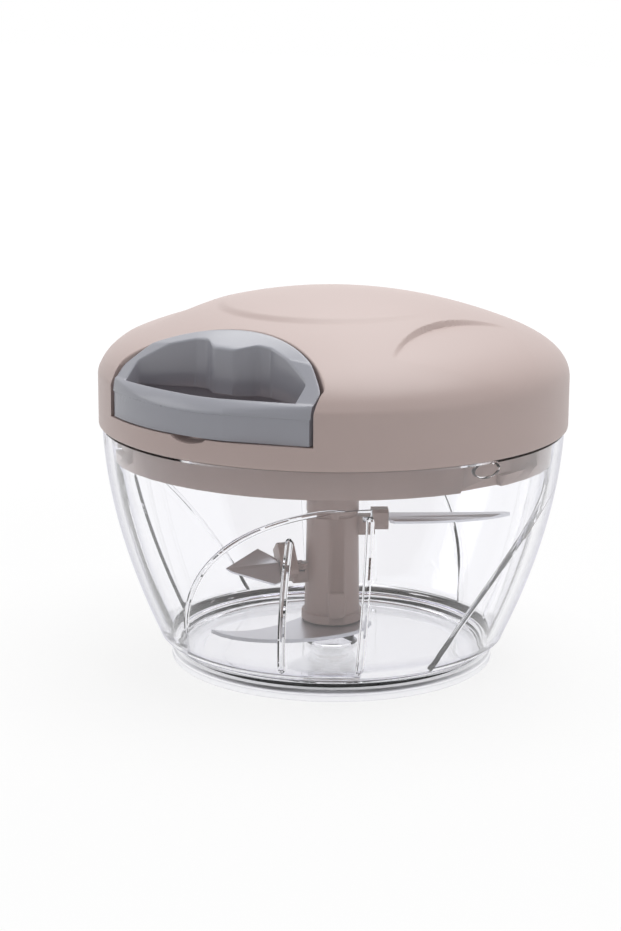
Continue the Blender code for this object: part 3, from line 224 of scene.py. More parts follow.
# %% Colour and node helpers


def colour(code, alpha=1.0):
    """An sRGB hex colour as linear red, green, blue and alpha."""
    values = [int(code[i:i + 2], 16) / 255 for i in (1, 3, 5)]
    linear = [v / 12.92 if v <= 0.04045 else ((v + 0.055) / 1.055) ** 2.4 for v in values]
    return (*linear, alpha)


def add_node(tree, kind, inputs=None, **settings):
    """Adds a node. An input is a plain value or another node's output."""
    made = tree.nodes.new(kind)
    for key, value in settings.items():
        setattr(made, key, value)
    for key, value in (inputs or {}).items():
        if isinstance(value, bpy.types.NodeSocket):
            tree.links.new(value, made.inputs[key])
        else:
            made.inputs[key].default_value = value
    return made


def started(name, **sockets):
    """A new material with its shader's sockets set, and the place that patterns are drawn in."""
    made = bpy.data.materials.new(name)
    made.use_nodes = True
    tree = made.node_tree
    shader = tree.nodes["Principled BSDF"]
    for key, value in sockets.items():
        shader.inputs[key.replace("_", " ")].default_value = value
    place = add_node(tree, "ShaderNodeTexCoord").outputs["Object"]
    return made, tree, shader, place


# %% [markdown]
# ** Moulded ABS.** The lid, its skirt and the blade shaft are injection moulded in a pinkish beige,
# and the handle in grey. The skirt and the shaft get darker copies of the beige, which are painted
# shade for their place inside the bowl and under the lid. A mould that was spark eroded leaves a fine
# matt grain of about a fifth of a millimetre, which softens the highlights. The colour itself is even,
# with a very slight flow through it. One fine noise serves the grain and the sheen, and a slow one the
# flow.

# %% Moulded plastic


def moulded_plastic(name, base, flow, roughness=0.42, grain=0.22, depth=0.012, ior=1.53):
    """Base and flow are hex colours; grain and depth are in millimetres."""
    made, tree, shader, place = started(name, IOR=ior)
    slow = add_node(tree, "ShaderNodeTexNoise", {"Vector": place, "Scale": 1 / (18 * MM), "Detail": 2.0})
    mix = add_node(tree, "ShaderNodeMix", {"Factor": slow.outputs["Fac"]}, data_type="RGBA")
    mix.inputs[6].default_value = colour(base)
    mix.inputs[7].default_value = colour(flow)
    tree.links.new(mix.outputs[2], shader.inputs["Base Color"])
    grit = add_node(tree, "ShaderNodeTexNoise", {"Vector": place, "Scale": 1 / (grain * MM), "Detail": 2.0})
    sheen = add_node(tree, "ShaderNodeMapRange", {
        "Value": grit.outputs["Fac"], "To Min": roughness - 0.05, "To Max": roughness + 0.05})
    tree.links.new(sheen.outputs["Result"], shader.inputs["Roughness"])
    bump = add_node(tree, "ShaderNodeBump", {
        "Height": grit.outputs["Fac"], "Strength": 0.35, "Distance": depth * MM})
    tree.links.new(bump.outputs["Normal"], shader.inputs["Normal"])
    return made


beige_abs = moulded_plastic("beige_abs", "#CBB7B2", "#CEBAB5")
# Painted shade: the skirt's and the shaft's beige is darker than the lid's, for the shade inside the bowl.
shaded_skirt_abs = moulded_plastic("shaded_skirt_abs", "#BCA49C", "#C0A8A0", roughness=0.35)
shaded_shaft_abs = moulded_plastic("shaded_shaft_abs", "#A68F88", "#AA938C", roughness=0.38)
grey_abs = moulded_plastic("grey_abs", "#A9AAB3", "#ACADB6", roughness=0.2, grain=0.18)
white_acetal = moulded_plastic("white_acetal", "#E3E2DC", "#DFDED8", roughness=0.4, ior=1.48)
silicone_rubber = moulded_plastic("silicone_rubber", "#D9D8D4", "#DCDBD7", roughness=0.62, ior=1.41)
print("moulded plastics:", beige_abs.name, shaded_skirt_abs.name, grey_abs.name)

# %% [markdown]
# ** Clear styrene-acrylonitrile.** The bowl is moulded in a hard clear plastic with a refractive
# index of about 1.57. It's nearly colourless, with a faint cool tint where a ray runs a long way
# inside a wall. Its edges and creases are painted a dark violet where the wall is seen edge on:
# painted shade for the dark surroundings seen through them. A wall of real moulded plastic is never
# quite flat, so a very gentle, wide waviness bends the view through it.

# %% Clear plastic
# Where the painted edge shade starts and where it is full, as the Layer Weight's facing value.
SHADED_EDGE_FROM = 0.66
SHADED_EDGE_TO = 0.97


def clear_plastic(name, tint, edge, roughness, wave=14.0, depth=0.02, ior=1.57):
    """Tint is what one wall passes; edge is a darker colour painted where the wall is seen edge on, as
    painted shade.
    """
    made, tree, shader, place = started(name, IOR=ior, Transmission_Weight=1.0)
    # Painted shade: towards where the wall is seen edge on, the base colour turns to the edge colour.
    facing = add_node(tree, "ShaderNodeLayerWeight", {"Blend": 0.5})
    share = add_node(tree, "ShaderNodeMapRange", {
        "Value": facing.outputs["Facing"], "From Min": SHADED_EDGE_FROM, "From Max": SHADED_EDGE_TO,
    }, interpolation_type="SMOOTHSTEP")
    mix = add_node(tree, "ShaderNodeMix", {"Factor": share.outputs["Result"]}, data_type="RGBA")
    mix.inputs[6].default_value = colour(tint)
    mix.inputs[7].default_value = colour(edge)
    tree.links.new(mix.outputs[2], shader.inputs["Base Color"])
    swell = add_node(tree, "ShaderNodeTexNoise", {"Vector": place, "Scale": 1 / (wave * MM), "Detail": 0.0})
    sheen = add_node(tree, "ShaderNodeMapRange", {
        "Value": swell.outputs["Fac"], "To Min": roughness * 0.7, "To Max": roughness * 1.3})
    tree.links.new(sheen.outputs["Result"], shader.inputs["Roughness"])
    bump = add_node(tree, "ShaderNodeBump", {
        "Height": swell.outputs["Fac"], "Strength": 0.3, "Distance": depth * MM})
    tree.links.new(bump.outputs["Normal"], shader.inputs["Normal"])
    return made


# The bowl's edges get a dark violet painted shade, and the foot ring's edges a pale grey one.
clear_san = clear_plastic("clear_san", "#FCFCFE", "#4F4B88", 0.012)
milky_tpe = clear_plastic("milky_tpe", "#F0F0F4", "#CFCFDA", 0.36, ior=1.49)
print("clear plastics:", clear_san.name, milky_tpe.name)

# %% [markdown]
# **Stainless steel.** The blades are punched from cold rolled strip, so fine lines run along them,
# about a tenth of a millimetre apart. They're drawn three times as coarse to show at all. The pin,
# the ring and the screws are plain bright steel, and the spring is blued by its tempering.

# %% Steel


def rolled_steel(name, base, roughness, line=0.3):
    """Line is the spacing of the rolling lines in millimetres."""
    made, tree, shader, place = started(name, Metallic=1.0)
    stretch = add_node(tree, "ShaderNodeMapping", {
        "Vector": place, "Scale": (1 / (line * MM), 1 / (line * MM), 1 / (12 * MM))})
    lines = add_node(tree, "ShaderNodeTexNoise", {"Vector": stretch.outputs["Vector"], "Scale": 1.0})
    mix = add_node(tree, "ShaderNodeMapRange", {
        "Value": lines.outputs["Fac"], "To Min": roughness - 0.03, "To Max": roughness + 0.04})
    tree.links.new(mix.outputs["Result"], shader.inputs["Roughness"])
    shade = add_node(tree, "ShaderNodeMix", {"Factor": lines.outputs["Fac"]}, data_type="RGBA")
    shade.inputs[6].default_value = colour(base)
    shade.inputs[7].default_value = tuple(0.95 * c for c in colour(base)[:3]) + (1,)
    tree.links.new(shade.outputs[2], shader.inputs["Base Color"])
    return made


blade_steel = rolled_steel("blade_steel", "#DCDDE2", 0.33)
bright_steel = rolled_steel("bright_steel", "#C6C7CA", 0.2)
blued_steel = rolled_steel("blued_steel", "#5F6A7C", 0.3)

# %% [markdown]
# **Braided cord.** The pull cord is a white polyester braid of 1.6 mm. Its plaits cross about every
# millimetre, and at that scale a pattern of small cells gives the same bumps.

# %% Braided cord


def braided_cord(name, base, plait=1.0):
    made, tree, shader, place = started(name, Base_Color=colour(base), Roughness=0.85)
    shader.inputs["Sheen Weight"].default_value = 0.3
    checks = add_node(tree, "ShaderNodeTexVoronoi", {"Vector": place, "Scale": 1 / (plait * 0.6 * MM)})
    bump = add_node(tree, "ShaderNodeBump", {
        "Height": checks.outputs["Distance"], "Strength": 0.6, "Distance": 0.12 * MM})
    tree.links.new(bump.outputs["Normal"], shader.inputs["Normal"])
    return made


polyester_braid = braided_cord("polyester_braid", "#E9E8E4")

# %% [markdown]
# ## Handing a piece over
# A finished piece gets its material, is shaded smooth except at real edges, rides on its body, and
# hides the CAD nodes that it stands for.

# %% Finishing a piece


def finished(item, body, material, replaces=(), edge=32):
    only(item)
    item.data.materials.clear()
    item.data.materials.append(material)
    bpy.ops.object.shade_smooth_by_angle(angle=math.radians(edge))
    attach(item, body)
    if replaces:
        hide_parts(*replaces)
    print(f"{item.name}: {len(item.data.polygons)} faces on {body}")
    return item


# %% [markdown]
# ## The camera and the room
# The photo was taken from the right of the handle and a little above. The camera's place comes from
# a fit to the lid's and the bowl's outlines, and a small shift sets the chopper where the photo has it.

# %% Camera
PHOTO_WIDTH = 621
PHOTO_HEIGHT = 931
FOCAL_PIXELS = 2229
VIEW_DISTANCE = 0.600
VIEW_TURN = math.radians(35)
VIEW_RISE = math.radians(13.05)
VIEW_ROLL = math.radians(0.5)
AIM = Vector((0, 0, 0.050))
AIM_ACROSS = 333
AIM_DOWN = 473.5

flat = VIEW_DISTANCE * math.cos(VIEW_RISE)
eye = AIM + Vector((
    flat * math.sin(VIEW_TURN), -flat * math.cos(VIEW_TURN), VIEW_DISTANCE * math.sin(VIEW_RISE)))
camera_data = bpy.data.cameras.new("camera")
camera_data.sensor_fit = "VERTICAL"
camera_data.sensor_height = 36
camera_data.lens = FOCAL_PIXELS * camera_data.sensor_height / PHOTO_HEIGHT
camera_data.shift_x = (PHOTO_WIDTH / 2 - AIM_ACROSS) / PHOTO_HEIGHT
camera_data.shift_y = (AIM_DOWN - PHOTO_HEIGHT / 2) / PHOTO_HEIGHT
camera_data.clip_start = 0.01
camera = bpy.data.objects.new("camera", camera_data)
bpy.context.scene.collection.objects.link(camera)
facing = (AIM - eye).to_track_quat("-Z", "Y")
camera.rotation_euler = (facing.to_matrix() @ Matrix.Rotation(VIEW_ROLL, 3, "Z")).to_euler()
camera.location = eye
bpy.context.scene.camera = camera
print("camera at", [round(v, 3) for v in eye])

# %% [markdown]
# The background is white. The floor keeps a faint shadow: for the rays that the eye sees, directly
# or in metal and clear plastic, it's mostly a plain white, and for the light it's a pale grey. The
# share of the shadow that's seen fades out with the distance from the chopper.

# %% Floor
SHADOW_SHARE = 0.16
SHADOW_REACH = (0.14, 0.42)
FLOOR_GLOW = 1.03
FLOOR_SIZE = 6


def seen_ray(tree):
    """Is 1 for camera rays and for what metal and clear plastic show, and 0 for light."""
    path = add_node(tree, "ShaderNodeLightPath")
    first = add_node(tree, "ShaderNodeMath", {
        0: path.outputs["Is Camera Ray"], 1: path.outputs["Is Glossy Ray"]}, operation="MAXIMUM")
    return add_node(tree, "ShaderNodeMath", {
        0: first.outputs[0], 1: path.outputs["Is Transmission Ray"]}, operation="MAXIMUM").outputs[0]


def floor_material():
    made = bpy.data.materials.new("pale_floor")
    made.use_nodes = True
    tree = made.node_tree
    tree.nodes.clear()
    matt = add_node(tree, "ShaderNodeBsdfDiffuse", {"Color": colour("#F2F2F2")})
    glow = add_node(tree, "ShaderNodeEmission", {"Color": (1, 1, 1, 1), "Strength": FLOOR_GLOW})
    place = add_node(tree, "ShaderNodeTexCoord").outputs["Object"]
    away = add_node(tree, "ShaderNodeVectorMath", {0: place}, operation="LENGTH")
    patch = add_node(tree, "ShaderNodeMapRange", {
        "Value": away.outputs["Value"], "From Min": SHADOW_REACH[0], "From Max": SHADOW_REACH[1],
        "To Min": 1 - SHADOW_SHARE, "To Max": 1.0}, interpolation_type="SMOOTHSTEP")
    share = add_node(tree, "ShaderNodeMath", {
        0: seen_ray(tree), 1: patch.outputs["Result"]}, operation="MULTIPLY")
    mix = add_node(tree, "ShaderNodeMixShader", {
        0: share.outputs[0], 1: matt.outputs[0], 2: glow.outputs[0]})
    add_node(tree, "ShaderNodeOutputMaterial", {"Surface": mix.outputs[0]})
    return made


bpy.ops.mesh.primitive_plane_add(size=FLOOR_SIZE, location=(0, 0, 0))
floor = bpy.context.object
floor.name = "floor"
floor.data.materials.append(floor_material())

# %% [markdown]
# The light is soft and plain: a big box above, which leaves the lid's front in a gentle shade, a
# weaker one at the left, and two faint ones that lift the back and the right side.

# %% World and lamps
AMBIENT = 0.25

world = bpy.data.worlds.new("studio")
bpy.context.scene.world = world
world.use_nodes = True
tree = world.node_tree
tree.nodes.clear()
level = add_node(tree, "ShaderNodeMapRange", {"Value": seen_ray(tree), "To Min": AMBIENT, "To Max": 1.0})
sky = add_node(tree, "ShaderNodeBackground", {"Color": (1, 1, 1, 1), "Strength": level.outputs["Result"]})
add_node(tree, "ShaderNodeOutputWorld", {"Surface": sky.outputs[0]})


def soft_box(name, place, size, power, aim=(0, 0, 0.06)):
    lamp = bpy.data.lights.new(name, "AREA")
    lamp.shape = "RECTANGLE"
    lamp.size, lamp.size_y = size
    lamp.energy = power
    item = bpy.data.objects.new(name, lamp)
    item.location = place
    item.rotation_euler = (Vector(aim) - Vector(place)).to_track_quat("-Z", "Y").to_euler()
    bpy.context.scene.collection.objects.link(item)
    return item


soft_box("top_box", (0.05, 0.15, 0.95), (0.9, 0.7), 6.2)
soft_box("left_box", (-0.75, -0.45, 0.45), (0.4, 0.7), 1.1)
soft_box("back_box", (-0.38, 0.54, 0.67), (0.5, 0.3), 0.75)
soft_box("right_box", (0.85, -0.10, 0.35), (0.3, 0.6), 0.3)
print("four soft boxes lit")

# %% [markdown]
# ## Sizes of the chopper
# The driving sizes, in metres, with the axis of the bowl on Z and the handle towards -Y.

# %% Sizes
GAP = 0.3 * MM
LID_RADIUS = 62.5 * MM
LID_TOP = 100 * MM
LID_BOTTOM = 64.45 * MM
LID_WALL = 1.6 * MM
CROWN_WALL = 2.8 * MM
CROWN_RADIUS = 128 * MM
SHOULDER_HEIGHT = 78 * MM
SHOULDER_RUN = 13.5 * MM
CAP_RADIUS = 30 * MM
CAP_SLOPE = 2.8 * MM
CAP_TILT = math.radians(1.35)
DISH_RADIUS = 54 * MM
DISH_REACH = 34.5 * MM
DISH_BACK = 10 * MM
DISH_DEPTH = 1.6 * MM
DISH_SLIDE = 6.5 * MM
DISH_STRETCH = 1.3
DISH_EDGE = 0.9 * MM
HANDLE_HALF_WIDTH = 31.2 * MM
HANDLE_BACK = 37.8 * MM
HANDLE_BACK_ARC = 47.4 * MM
HANDLE_BOTTOM = 70.8 * MM
HANDLE_DEPTH = 11.4 * MM
HANDLE_CORNER = 4 * MM
HANDLE_INSET = 0.4 * MM
HANDLE_SHOULDER = 0.7 * MM
HANDLE_BACK_RIM = 7 * MM
HANDLE_FRONT_WALL = 3.3 * MM
HANDLE_FRONT_ARC = 90 * MM
HANDLE_FRONT_SLOPE = 0.93
HANDLE_FRONT_BULGE = 0.5 * MM
HANDLE_FRONT_RUN = 3.9 * MM
HANDLE_SKIRT = 2.0 * MM
FINGER_SIDE = 4.8 * MM
FINGER_ARC = 84 * MM
FINGER_SLANT = 5.2 * MM
BUMP_HALF_WIDTH = 8.5 * MM
BUMP_DEPTH = 3.7 * MM
BUMP_FLAT = 2.5 * MM
RECESS_GAP = 0.6 * MM
CORD_HEIGHT = 83 * MM
CORD_RADIUS = 0.8 * MM
FAR = 90 * MM

# %% [markdown]
# ## The lid's dome
# The lid is a shallow dome that rolls over a broad shoulder into an upright side. It's spun from one
# line. `dome_line` gives that line, moved in by an inset for the inside of the wall, and `dome_at`
# gives the dome's height over any point, for the pieces that follow it.

# %% The dome's line


def dome_line(inset=0.0, drop=0.0, crown_inset=None, rings=80, bends=26):
    crown_inset = inset if crown_inset is None else crown_inset
    side = LID_RADIUS - inset
    bend = side - SHOULDER_RUN
    shoulder = SHOULDER_HEIGHT - drop
    top = LID_TOP - crown_inset - bend ** 2 / (2 * CROWN_RADIUS)
    reach = SHOULDER_RUN * 0.48
    slope = bend / CROWN_RADIUS
    crown = [
        (bend * i / rings, LID_TOP - crown_inset - (bend * i / rings) ** 2 / (2 * CROWN_RADIUS))
        for i in range(rings)
    ]
    roll = bezier(
        (bend, top), (bend + reach, top - reach * slope), (side, shoulder + reach), (side, shoulder), bends)
    return crown + roll


def dome_at(radius, inset=0.0, drop=0.0):
    """The dome's height over a radius, and its shoulder's height beyond its side."""
    line = dome_line(inset, drop, rings=60, bends=120)
    return float(np.interp(radius, [p[0] for p in line], [p[1] for p in line]))


# %% [markdown]
# On the dome stands a faint raised crown, a disc whose edge shows only towards the handle, and at
# either side lies a shallow dish with a curved edge, where the palm holds the lid down. Both are a
# fraction of a millimetre to a millimetre and a half deep, so they're pressed into the spun mesh: each
# vertex sinks by the depth that a formula gives. That keeps the edges soft and the faces even, where
# a boolean would leave slivers.

# %% Crown and dishes
PRESS_FADE = 4 * MM


def crown_sink(x, y):
    """How far the dome lies below its full height outside the raised crown."""
    radius = np.hypot(x, y)
    outside = smoothstep((radius - CAP_RADIUS + CAP_SLOPE / 2) / CAP_SLOPE)
    return outside * np.maximum(0, -y) * math.tan(CAP_TILT)


def dish_sink(x, y):
    """How far a side dish goes down: the crown again, stretched, slid out and sunk."""
    x = np.abs(x)
    back = DISH_BACK * (DISH_STRETCH ** 2 - 1)
    inside = DISH_RADIUS - np.hypot(x - DISH_REACH - DISH_RADIUS, y + DISH_BACK)

    def drop(px, py):
        slid = (px - DISH_SLIDE) ** 2 + ((py - back) / DISH_STRETCH) ** 2
        return (slid - px ** 2 - py ** 2) / (2 * CROWN_RADIUS)

    depth = DISH_DEPTH + drop(x, y) - drop(DISH_REACH, -DISH_BACK)
    return np.maximum(0, depth) * smoothstep(inside / DISH_EDGE + 0.3)


def pressed(item):
    """Sinks the lid's outer skin to its crown and dishes."""
    count = len(item.data.vertices)
    places = np.empty(count * 3)
    item.data.vertices.foreach_get("co", places)
    places = places.reshape(-1, 3)
    x, y, z = places.T
    radius = np.hypot(x, y)
    line = dome_line(rings=60, bends=120)
    surface = np.interp(radius, [p[0] for p in line], [p[1] for p in line])
    outer = (z > surface - CROWN_WALL / 3) & (z > SHOULDER_HEIGHT)
    fade = smoothstep((z - SHOULDER_HEIGHT) / PRESS_FADE)
    sink = np.maximum(crown_sink(x, y), dish_sink(x, y)) * fade
    places[:, 2] = np.where(outer, z - sink, z)
    item.data.vertices.foreach_set("co", places.ravel())
    item.data.update()
    print("deepest press:", round(float((sink * outer).max()) / MM, 2), "mm")
    return item


# %% [markdown]
# ## The handle's outline
# Seen from above, the handle is a D: an arc at the back, two straight sides and the lid's own edge
# in front. Its finger opening has a bump at the back for the knuckle and slanted corners. The same
# outline with a little clearance gives the recess in the lid.

# %% Outlines of handle and opening
FINGER_BACK = HANDLE_BACK + HANDLE_BACK_RIM - 0.7 * MM
FINGER_FRONT = LID_RADIUS - HANDLE_FRONT_WALL - 0.5 * MM
FINGER_BEND = 0.44
FINGER_ROUND = 1.2 * MM


def handle_outline(spread=0.0, front=FAR, count=40):
    half = HANDLE_HALF_WIDTH + spread
    radius = HANDLE_BACK_ARC + spread
    swing = math.asin(half / radius)
    middle = (0, -HANDLE_BACK - HANDLE_BACK_ARC)
    back = arc(middle, radius, math.pi / 2 - swing, math.pi / 2 + swing, count)
    return rounded([(half, -front)] + back + [(-half, -front)], HANDLE_CORNER + spread, 8)


def finger_outline():
    back = -FINGER_BACK
    side = HANDLE_HALF_WIDTH - FINGER_SIDE
    swing = math.asin(side / FINGER_ARC)
    bump = []
    for x in [BUMP_HALF_WIDTH * (1 - i / 12) for i in range(25)]:
        share = (BUMP_HALF_WIDTH - abs(x)) / (BUMP_HALF_WIDTH - BUMP_FLAT)
        bump.append((x, back - BUMP_DEPTH * float(smoothstep(share))))
    outline = [(side, back - FINGER_SLANT), (side * FINGER_BEND, back)] + bump
    outline += [(-side * FINGER_BEND, back), (-side, back - FINGER_SLANT)]
    middle = (0, FINGER_ARC - FINGER_FRONT)
    outline += arc(middle, FINGER_ARC, -math.pi / 2 - swing, -math.pi / 2 + swing, 24)
    return rounded(outline, FINGER_ROUND)


# %% [markdown]
# ## The lid cover
# The cover is spun as one wall with an outside and an inside, pressed as above, and given the
# recess's solid pocket, which the recess is then cut from. The recess's cutter flares in the last
# half millimetre below the dome, so the cut comes out with a rounded lip, as a moulded edge has.

# %% Lid cover
LIP_TOP = HANDLE_BOTTOM - GAP
LIP_FLARE = ((0.0, 0.45), (0.04, 0.28), (0.12, 0.13), (0.25, 0.03), (0.42, -0.06))


def recess_cutter():
    """The handle's outline with clearance, from the recess's floor up, flared at the surface."""
    plain = handle_outline(RECESS_GAP)
    rows = [[(x, y, LIP_TOP) for x, y in plain]]
    for spread, below in LIP_FLARE:
        outline = handle_outline(RECESS_GAP + spread * MM)
        row = []
        for x, y in outline:
            radius = min(math.hypot(x, y), LID_RADIUS)
            sink = float(crown_sink(np.array(x), np.array(y)))
            row.append((x, y, dome_at(radius) - sink - below * MM))
        rows.append(row)
    rows.append([(x, y, LID_TOP + 5 * MM) for x, y, z in rows[-1]])
    return loft("recess_cutter", rows)


def lid_cover():
    edge = [
        (LID_RADIUS, 74 * MM), (LID_RADIUS, 70 * MM), (LID_RADIUS, 65.4 * MM), (62.42 * MM, 65.05 * MM),
        (62.2 * MM, 64.8 * MM), (61.9 * MM, 64.65 * MM), (61.5 * MM, LID_BOTTOM), (60.9 * MM, LID_BOTTOM),
    ]
    inside = list(reversed(dome_line(LID_WALL, 0, CROWN_WALL, rings=12, bends=10)))
    cover = spun("lid_cover_shell", dome_line(rings=110) + edge + inside, 512, closed=False)
    pressed(cover)
    pocket = prism("pocket", handle_outline(RECESS_GAP + LID_WALL), LIP_TOP - LID_WALL, LID_TOP)
    limit = spun("pocket_limit", dome_line(LID_WALL / 2, 0, CROWN_WALL / 2, rings=12, bends=10)
                 + [(LID_RADIUS - LID_WALL / 2, LID_BOTTOM), (0, LID_BOTTOM)], 96, closed=False)
    combined(pocket, limit, "INTERSECT")
    combined(cover, pocket, "UNION")
    combined(cover, recess_cutter(), "DIFFERENCE")
    return cover


cover = lid_cover()

# %% [markdown]
# Below the handle's middle the lip has a small scooped notch, where a fingernail starts the pull. A
# stretched sphere is the quickest scoop. The cord comes through a round hole in the recess's back.

# %% Notch and cord hole
NOTCH_HALF_SIZES = (5.6 * MM, 5.0 * MM, 1.8 * MM)
NOTCH_PLACE = (0, -LID_RADIUS - 0.6 * MM, LIP_TOP + 0.4 * MM)
CORD_HOLE = 2.6 * MM


def hole_along_y(radius, depth, y, sides=32):
    """A cylinder along Y at the cord's height."""
    bpy.ops.mesh.primitive_cylinder_add(vertices=sides, radius=radius, depth=depth)
    tool = bpy.context.object
    tool.data.transform(Matrix.Translation((0, y, CORD_HEIGHT)) @ Matrix.Rotation(math.pi / 2, 4, "X"))
    return tool


bpy.ops.mesh.primitive_uv_sphere_add(segments=48, ring_count=24, radius=1, location=(0, 0, 0))
scoop = bpy.context.object
scoop.data.transform(Matrix.Translation(NOTCH_PLACE) @ Matrix.Diagonal((*NOTCH_HALF_SIZES, 1)))
combined(cover, scoop, "DIFFERENCE")
combined(cover, hole_along_y(CORD_HOLE, 10 * MM, -37 * MM), "DIFFERENCE")
finished(cover, "lid", beige_abs, ["lid_cover"], edge=28)

# %% [markdown]
# ## The pull handle
# The handle is a closed ring, so it starts as a torus: the primitive already has a ring of sections
# with even faces. Each section is then moved to its place between the outer outline and the finger
# opening. A station's place on both outlines is where a ray from the ring's middle meets them.

# %% Rays to an outline


def ray_to(outline, centre, angle):
    """The farthest point of an outline in a direction from the centre."""
    along = Vector((math.cos(angle), math.sin(angle)))
    best = 0.0
    for i, start in enumerate(outline):
        start = Vector(start) - centre
        end = Vector(outline[(i + 1) % len(outline)]) - centre
        side = end - start
        cross = along.x * side.y - along.y * side.x
        if abs(cross) < 1e-12:
            continue
        reach = (start.x * side.y - start.y * side.x) / cross
        share = (start.x * along.y - start.y * along.x) / cross
        if -1e-6 <= share <= 1 + 1e-6 and reach > best:
            best = reach
    return centre + along * best


# %% [markdown]
# The handle's top follows the dome at the back and the lid's shoulder in front, where it rises from
# an upright face with a slight bulge. Underneath, the ring is hollow inside a skirt, and the hollow's
# ceiling comes down towards the front, so that the front wall is solid.

# %% The handle's top and ceiling
HOLLOW_BACK = 49.8 * MM
HOLLOW_FRONT = 57 * MM


def handle_top(x, y):
    """The dome, and towards the front the slope that rises from the upright face."""
    side = LID_RADIUS - HANDLE_INSET
    reach = HANDLE_FRONT_ARC - math.hypot(x, y - HANDLE_FRONT_ARC + side)
    share = min(max(reach / HANDLE_FRONT_RUN, 0), 1)
    slope = SHOULDER_HEIGHT - HANDLE_SHOULDER + reach * HANDLE_FRONT_SLOPE
    slope += 4 * HANDLE_FRONT_BULGE * share * (1 - share)
    return min(dome_at(math.hypot(x, y), HANDLE_INSET, HANDLE_SHOULDER), slope)


def handle_under(x, y):
    """The ceiling of the room inside the skirt: high behind, down to the bottom in front."""
    high = LID_TOP - (HANDLE_BACK + HANDLE_BACK_RIM) ** 2 / (2 * CROWN_RADIUS) - HANDLE_DEPTH
    run = smoothstep((-y - HOLLOW_BACK) / (HOLLOW_FRONT - HOLLOW_BACK))
    return high + (HANDLE_BOTTOM - high) * float(run)


# %% [markdown]
# A section starts low on the outer face, which is set back a little under the rim, goes over the
# rounded rim and the top, rounds into the finger opening, and comes back along the underside. There
# a collar hangs down round the opening, so the fingers meet a deep, smooth edge.

# %% One section of the ring
OUTER_ROUND = 0.3 * MM
INNER_ROUND = 0.55 * MM
OVERHANG = 0.35 * MM
UNDERCUT = 0.12 * MM
FOOT_CHAMFER = 0.25 * MM
COLLAR = 1.8 * MM
COLLAR_WALL = 1.3 * MM
SLIVER = 0.01 * MM


def ring_section(outer, inner):
    """One section, from the outer wall over the top and down the inner wall."""
    across = inner - outer
    width = across.length
    across.normalize()
    skirt = outer + across * HANDLE_SKIRT
    low_out = HANDLE_BOTTOM
    ceiling = handle_under(*inner)
    low_in = max(ceiling - COLLAR, low_out)
    collar = inner - across * COLLAR_WALL

    def over(step, fall=0.0):
        place = outer + across * step
        return (place.x, place.y, handle_top(*place) - fall)

    face = outer + across * OVERHANG
    section = [(face.x, face.y, low_out + FOOT_CHAMFER)]
    top = handle_top(*outer) - OUTER_ROUND
    for share in (0.33, 0.66, 1.0):
        section.append((face.x, face.y, low_out + (top - UNDERCUT - low_out) * share))
    section.append((outer.x, outer.y, top))
    for angle in (30, 60, 90):
        swing = math.radians(angle)
        section.append(over(OUTER_ROUND * (1 - math.cos(swing)), OUTER_ROUND * (1 - math.sin(swing))))
    for share in (0.12, 0.25, 0.38, 0.5, 0.62, 0.75, 0.88):
        section.append(over(OUTER_ROUND + (width - OUTER_ROUND - INNER_ROUND) * share))
    for angle in (90, 75, 60, 45, 30, 15):
        swing = math.radians(angle)
        step = width - INNER_ROUND * (1 - math.cos(swing))
        section.append(over(step, INNER_ROUND * (1 - math.sin(swing))))
    top = handle_top(*inner) - INNER_ROUND
    for share in (1.0, 0.66, 0.33):
        section.append((inner.x, inner.y, low_in + (top - low_in) * share))
    section.append((inner.x, inner.y, low_in + FOOT_CHAMFER))
    near_in = inner - across * FOOT_CHAMFER
    near_out = outer + across * FOOT_CHAMFER
    section.append((near_in.x, near_in.y, low_in))
    section.append((collar.x, collar.y, low_in))
    section.append((collar.x, collar.y, ceiling + SLIVER))
    section.append((skirt.x, skirt.y, ceiling - SLIVER))
    section.append((skirt.x, skirt.y, low_out + SLIVER))
    section.append((near_out.x, near_out.y, low_out))
    return section


# %% [markdown]
# The torus gets as many sections as there are stations, and each of its vertices goes to a point of
# a section. The stations crowd towards the ring's two ends, where it bends most.

# %% The ring of sections
RING_STATIONS = 300
RING_MIDDLE = 54 * MM
RING_CROWDING = 0.36
SIDE_EASE = 0.25 * MM


def pull_handle():
    middle = Vector((0, -RING_MIDDLE))
    front = math.asin((HANDLE_HALF_WIDTH - SIDE_EASE) / (LID_RADIUS - HANDLE_INSET))
    sides = [p for p in handle_outline(-SIDE_EASE) if math.hypot(*p) < LID_RADIUS - HANDLE_INSET]
    outer = sides + arc((0, 0), LID_RADIUS - HANDLE_INSET, -math.pi / 2 - front, -math.pi / 2 + front, 40)
    inner = finger_outline()
    sections = []
    for i in range(RING_STATIONS):
        angle = 2 * math.pi * i / RING_STATIONS
        angle -= RING_CROWDING * math.sin(2 * angle)
        sections.append(ring_section(ray_to(outer, middle, angle), ray_to(inner, middle, angle)))
    count = len(sections[0])
    bpy.ops.mesh.primitive_torus_add(
        major_segments=RING_STATIONS, minor_segments=count, major_radius=0.02, minor_radius=0.003)
    ring = bpy.context.object
    ring.name = "pull_handle_ring"
    places = [point for section in sections for point in section]
    ring.data.vertices.foreach_set("co", [value for place in places for value in place])
    ring.data.update()
    return welded(ring, 0.001 * MM)


handle = pull_handle()
print("handle ring:", len(handle.data.polygons), "faces")

# %% [markdown]
# The cord's knot sits in a round seat that opens downwards in the handle's back, and the cord comes
# to it through a narrow bore.

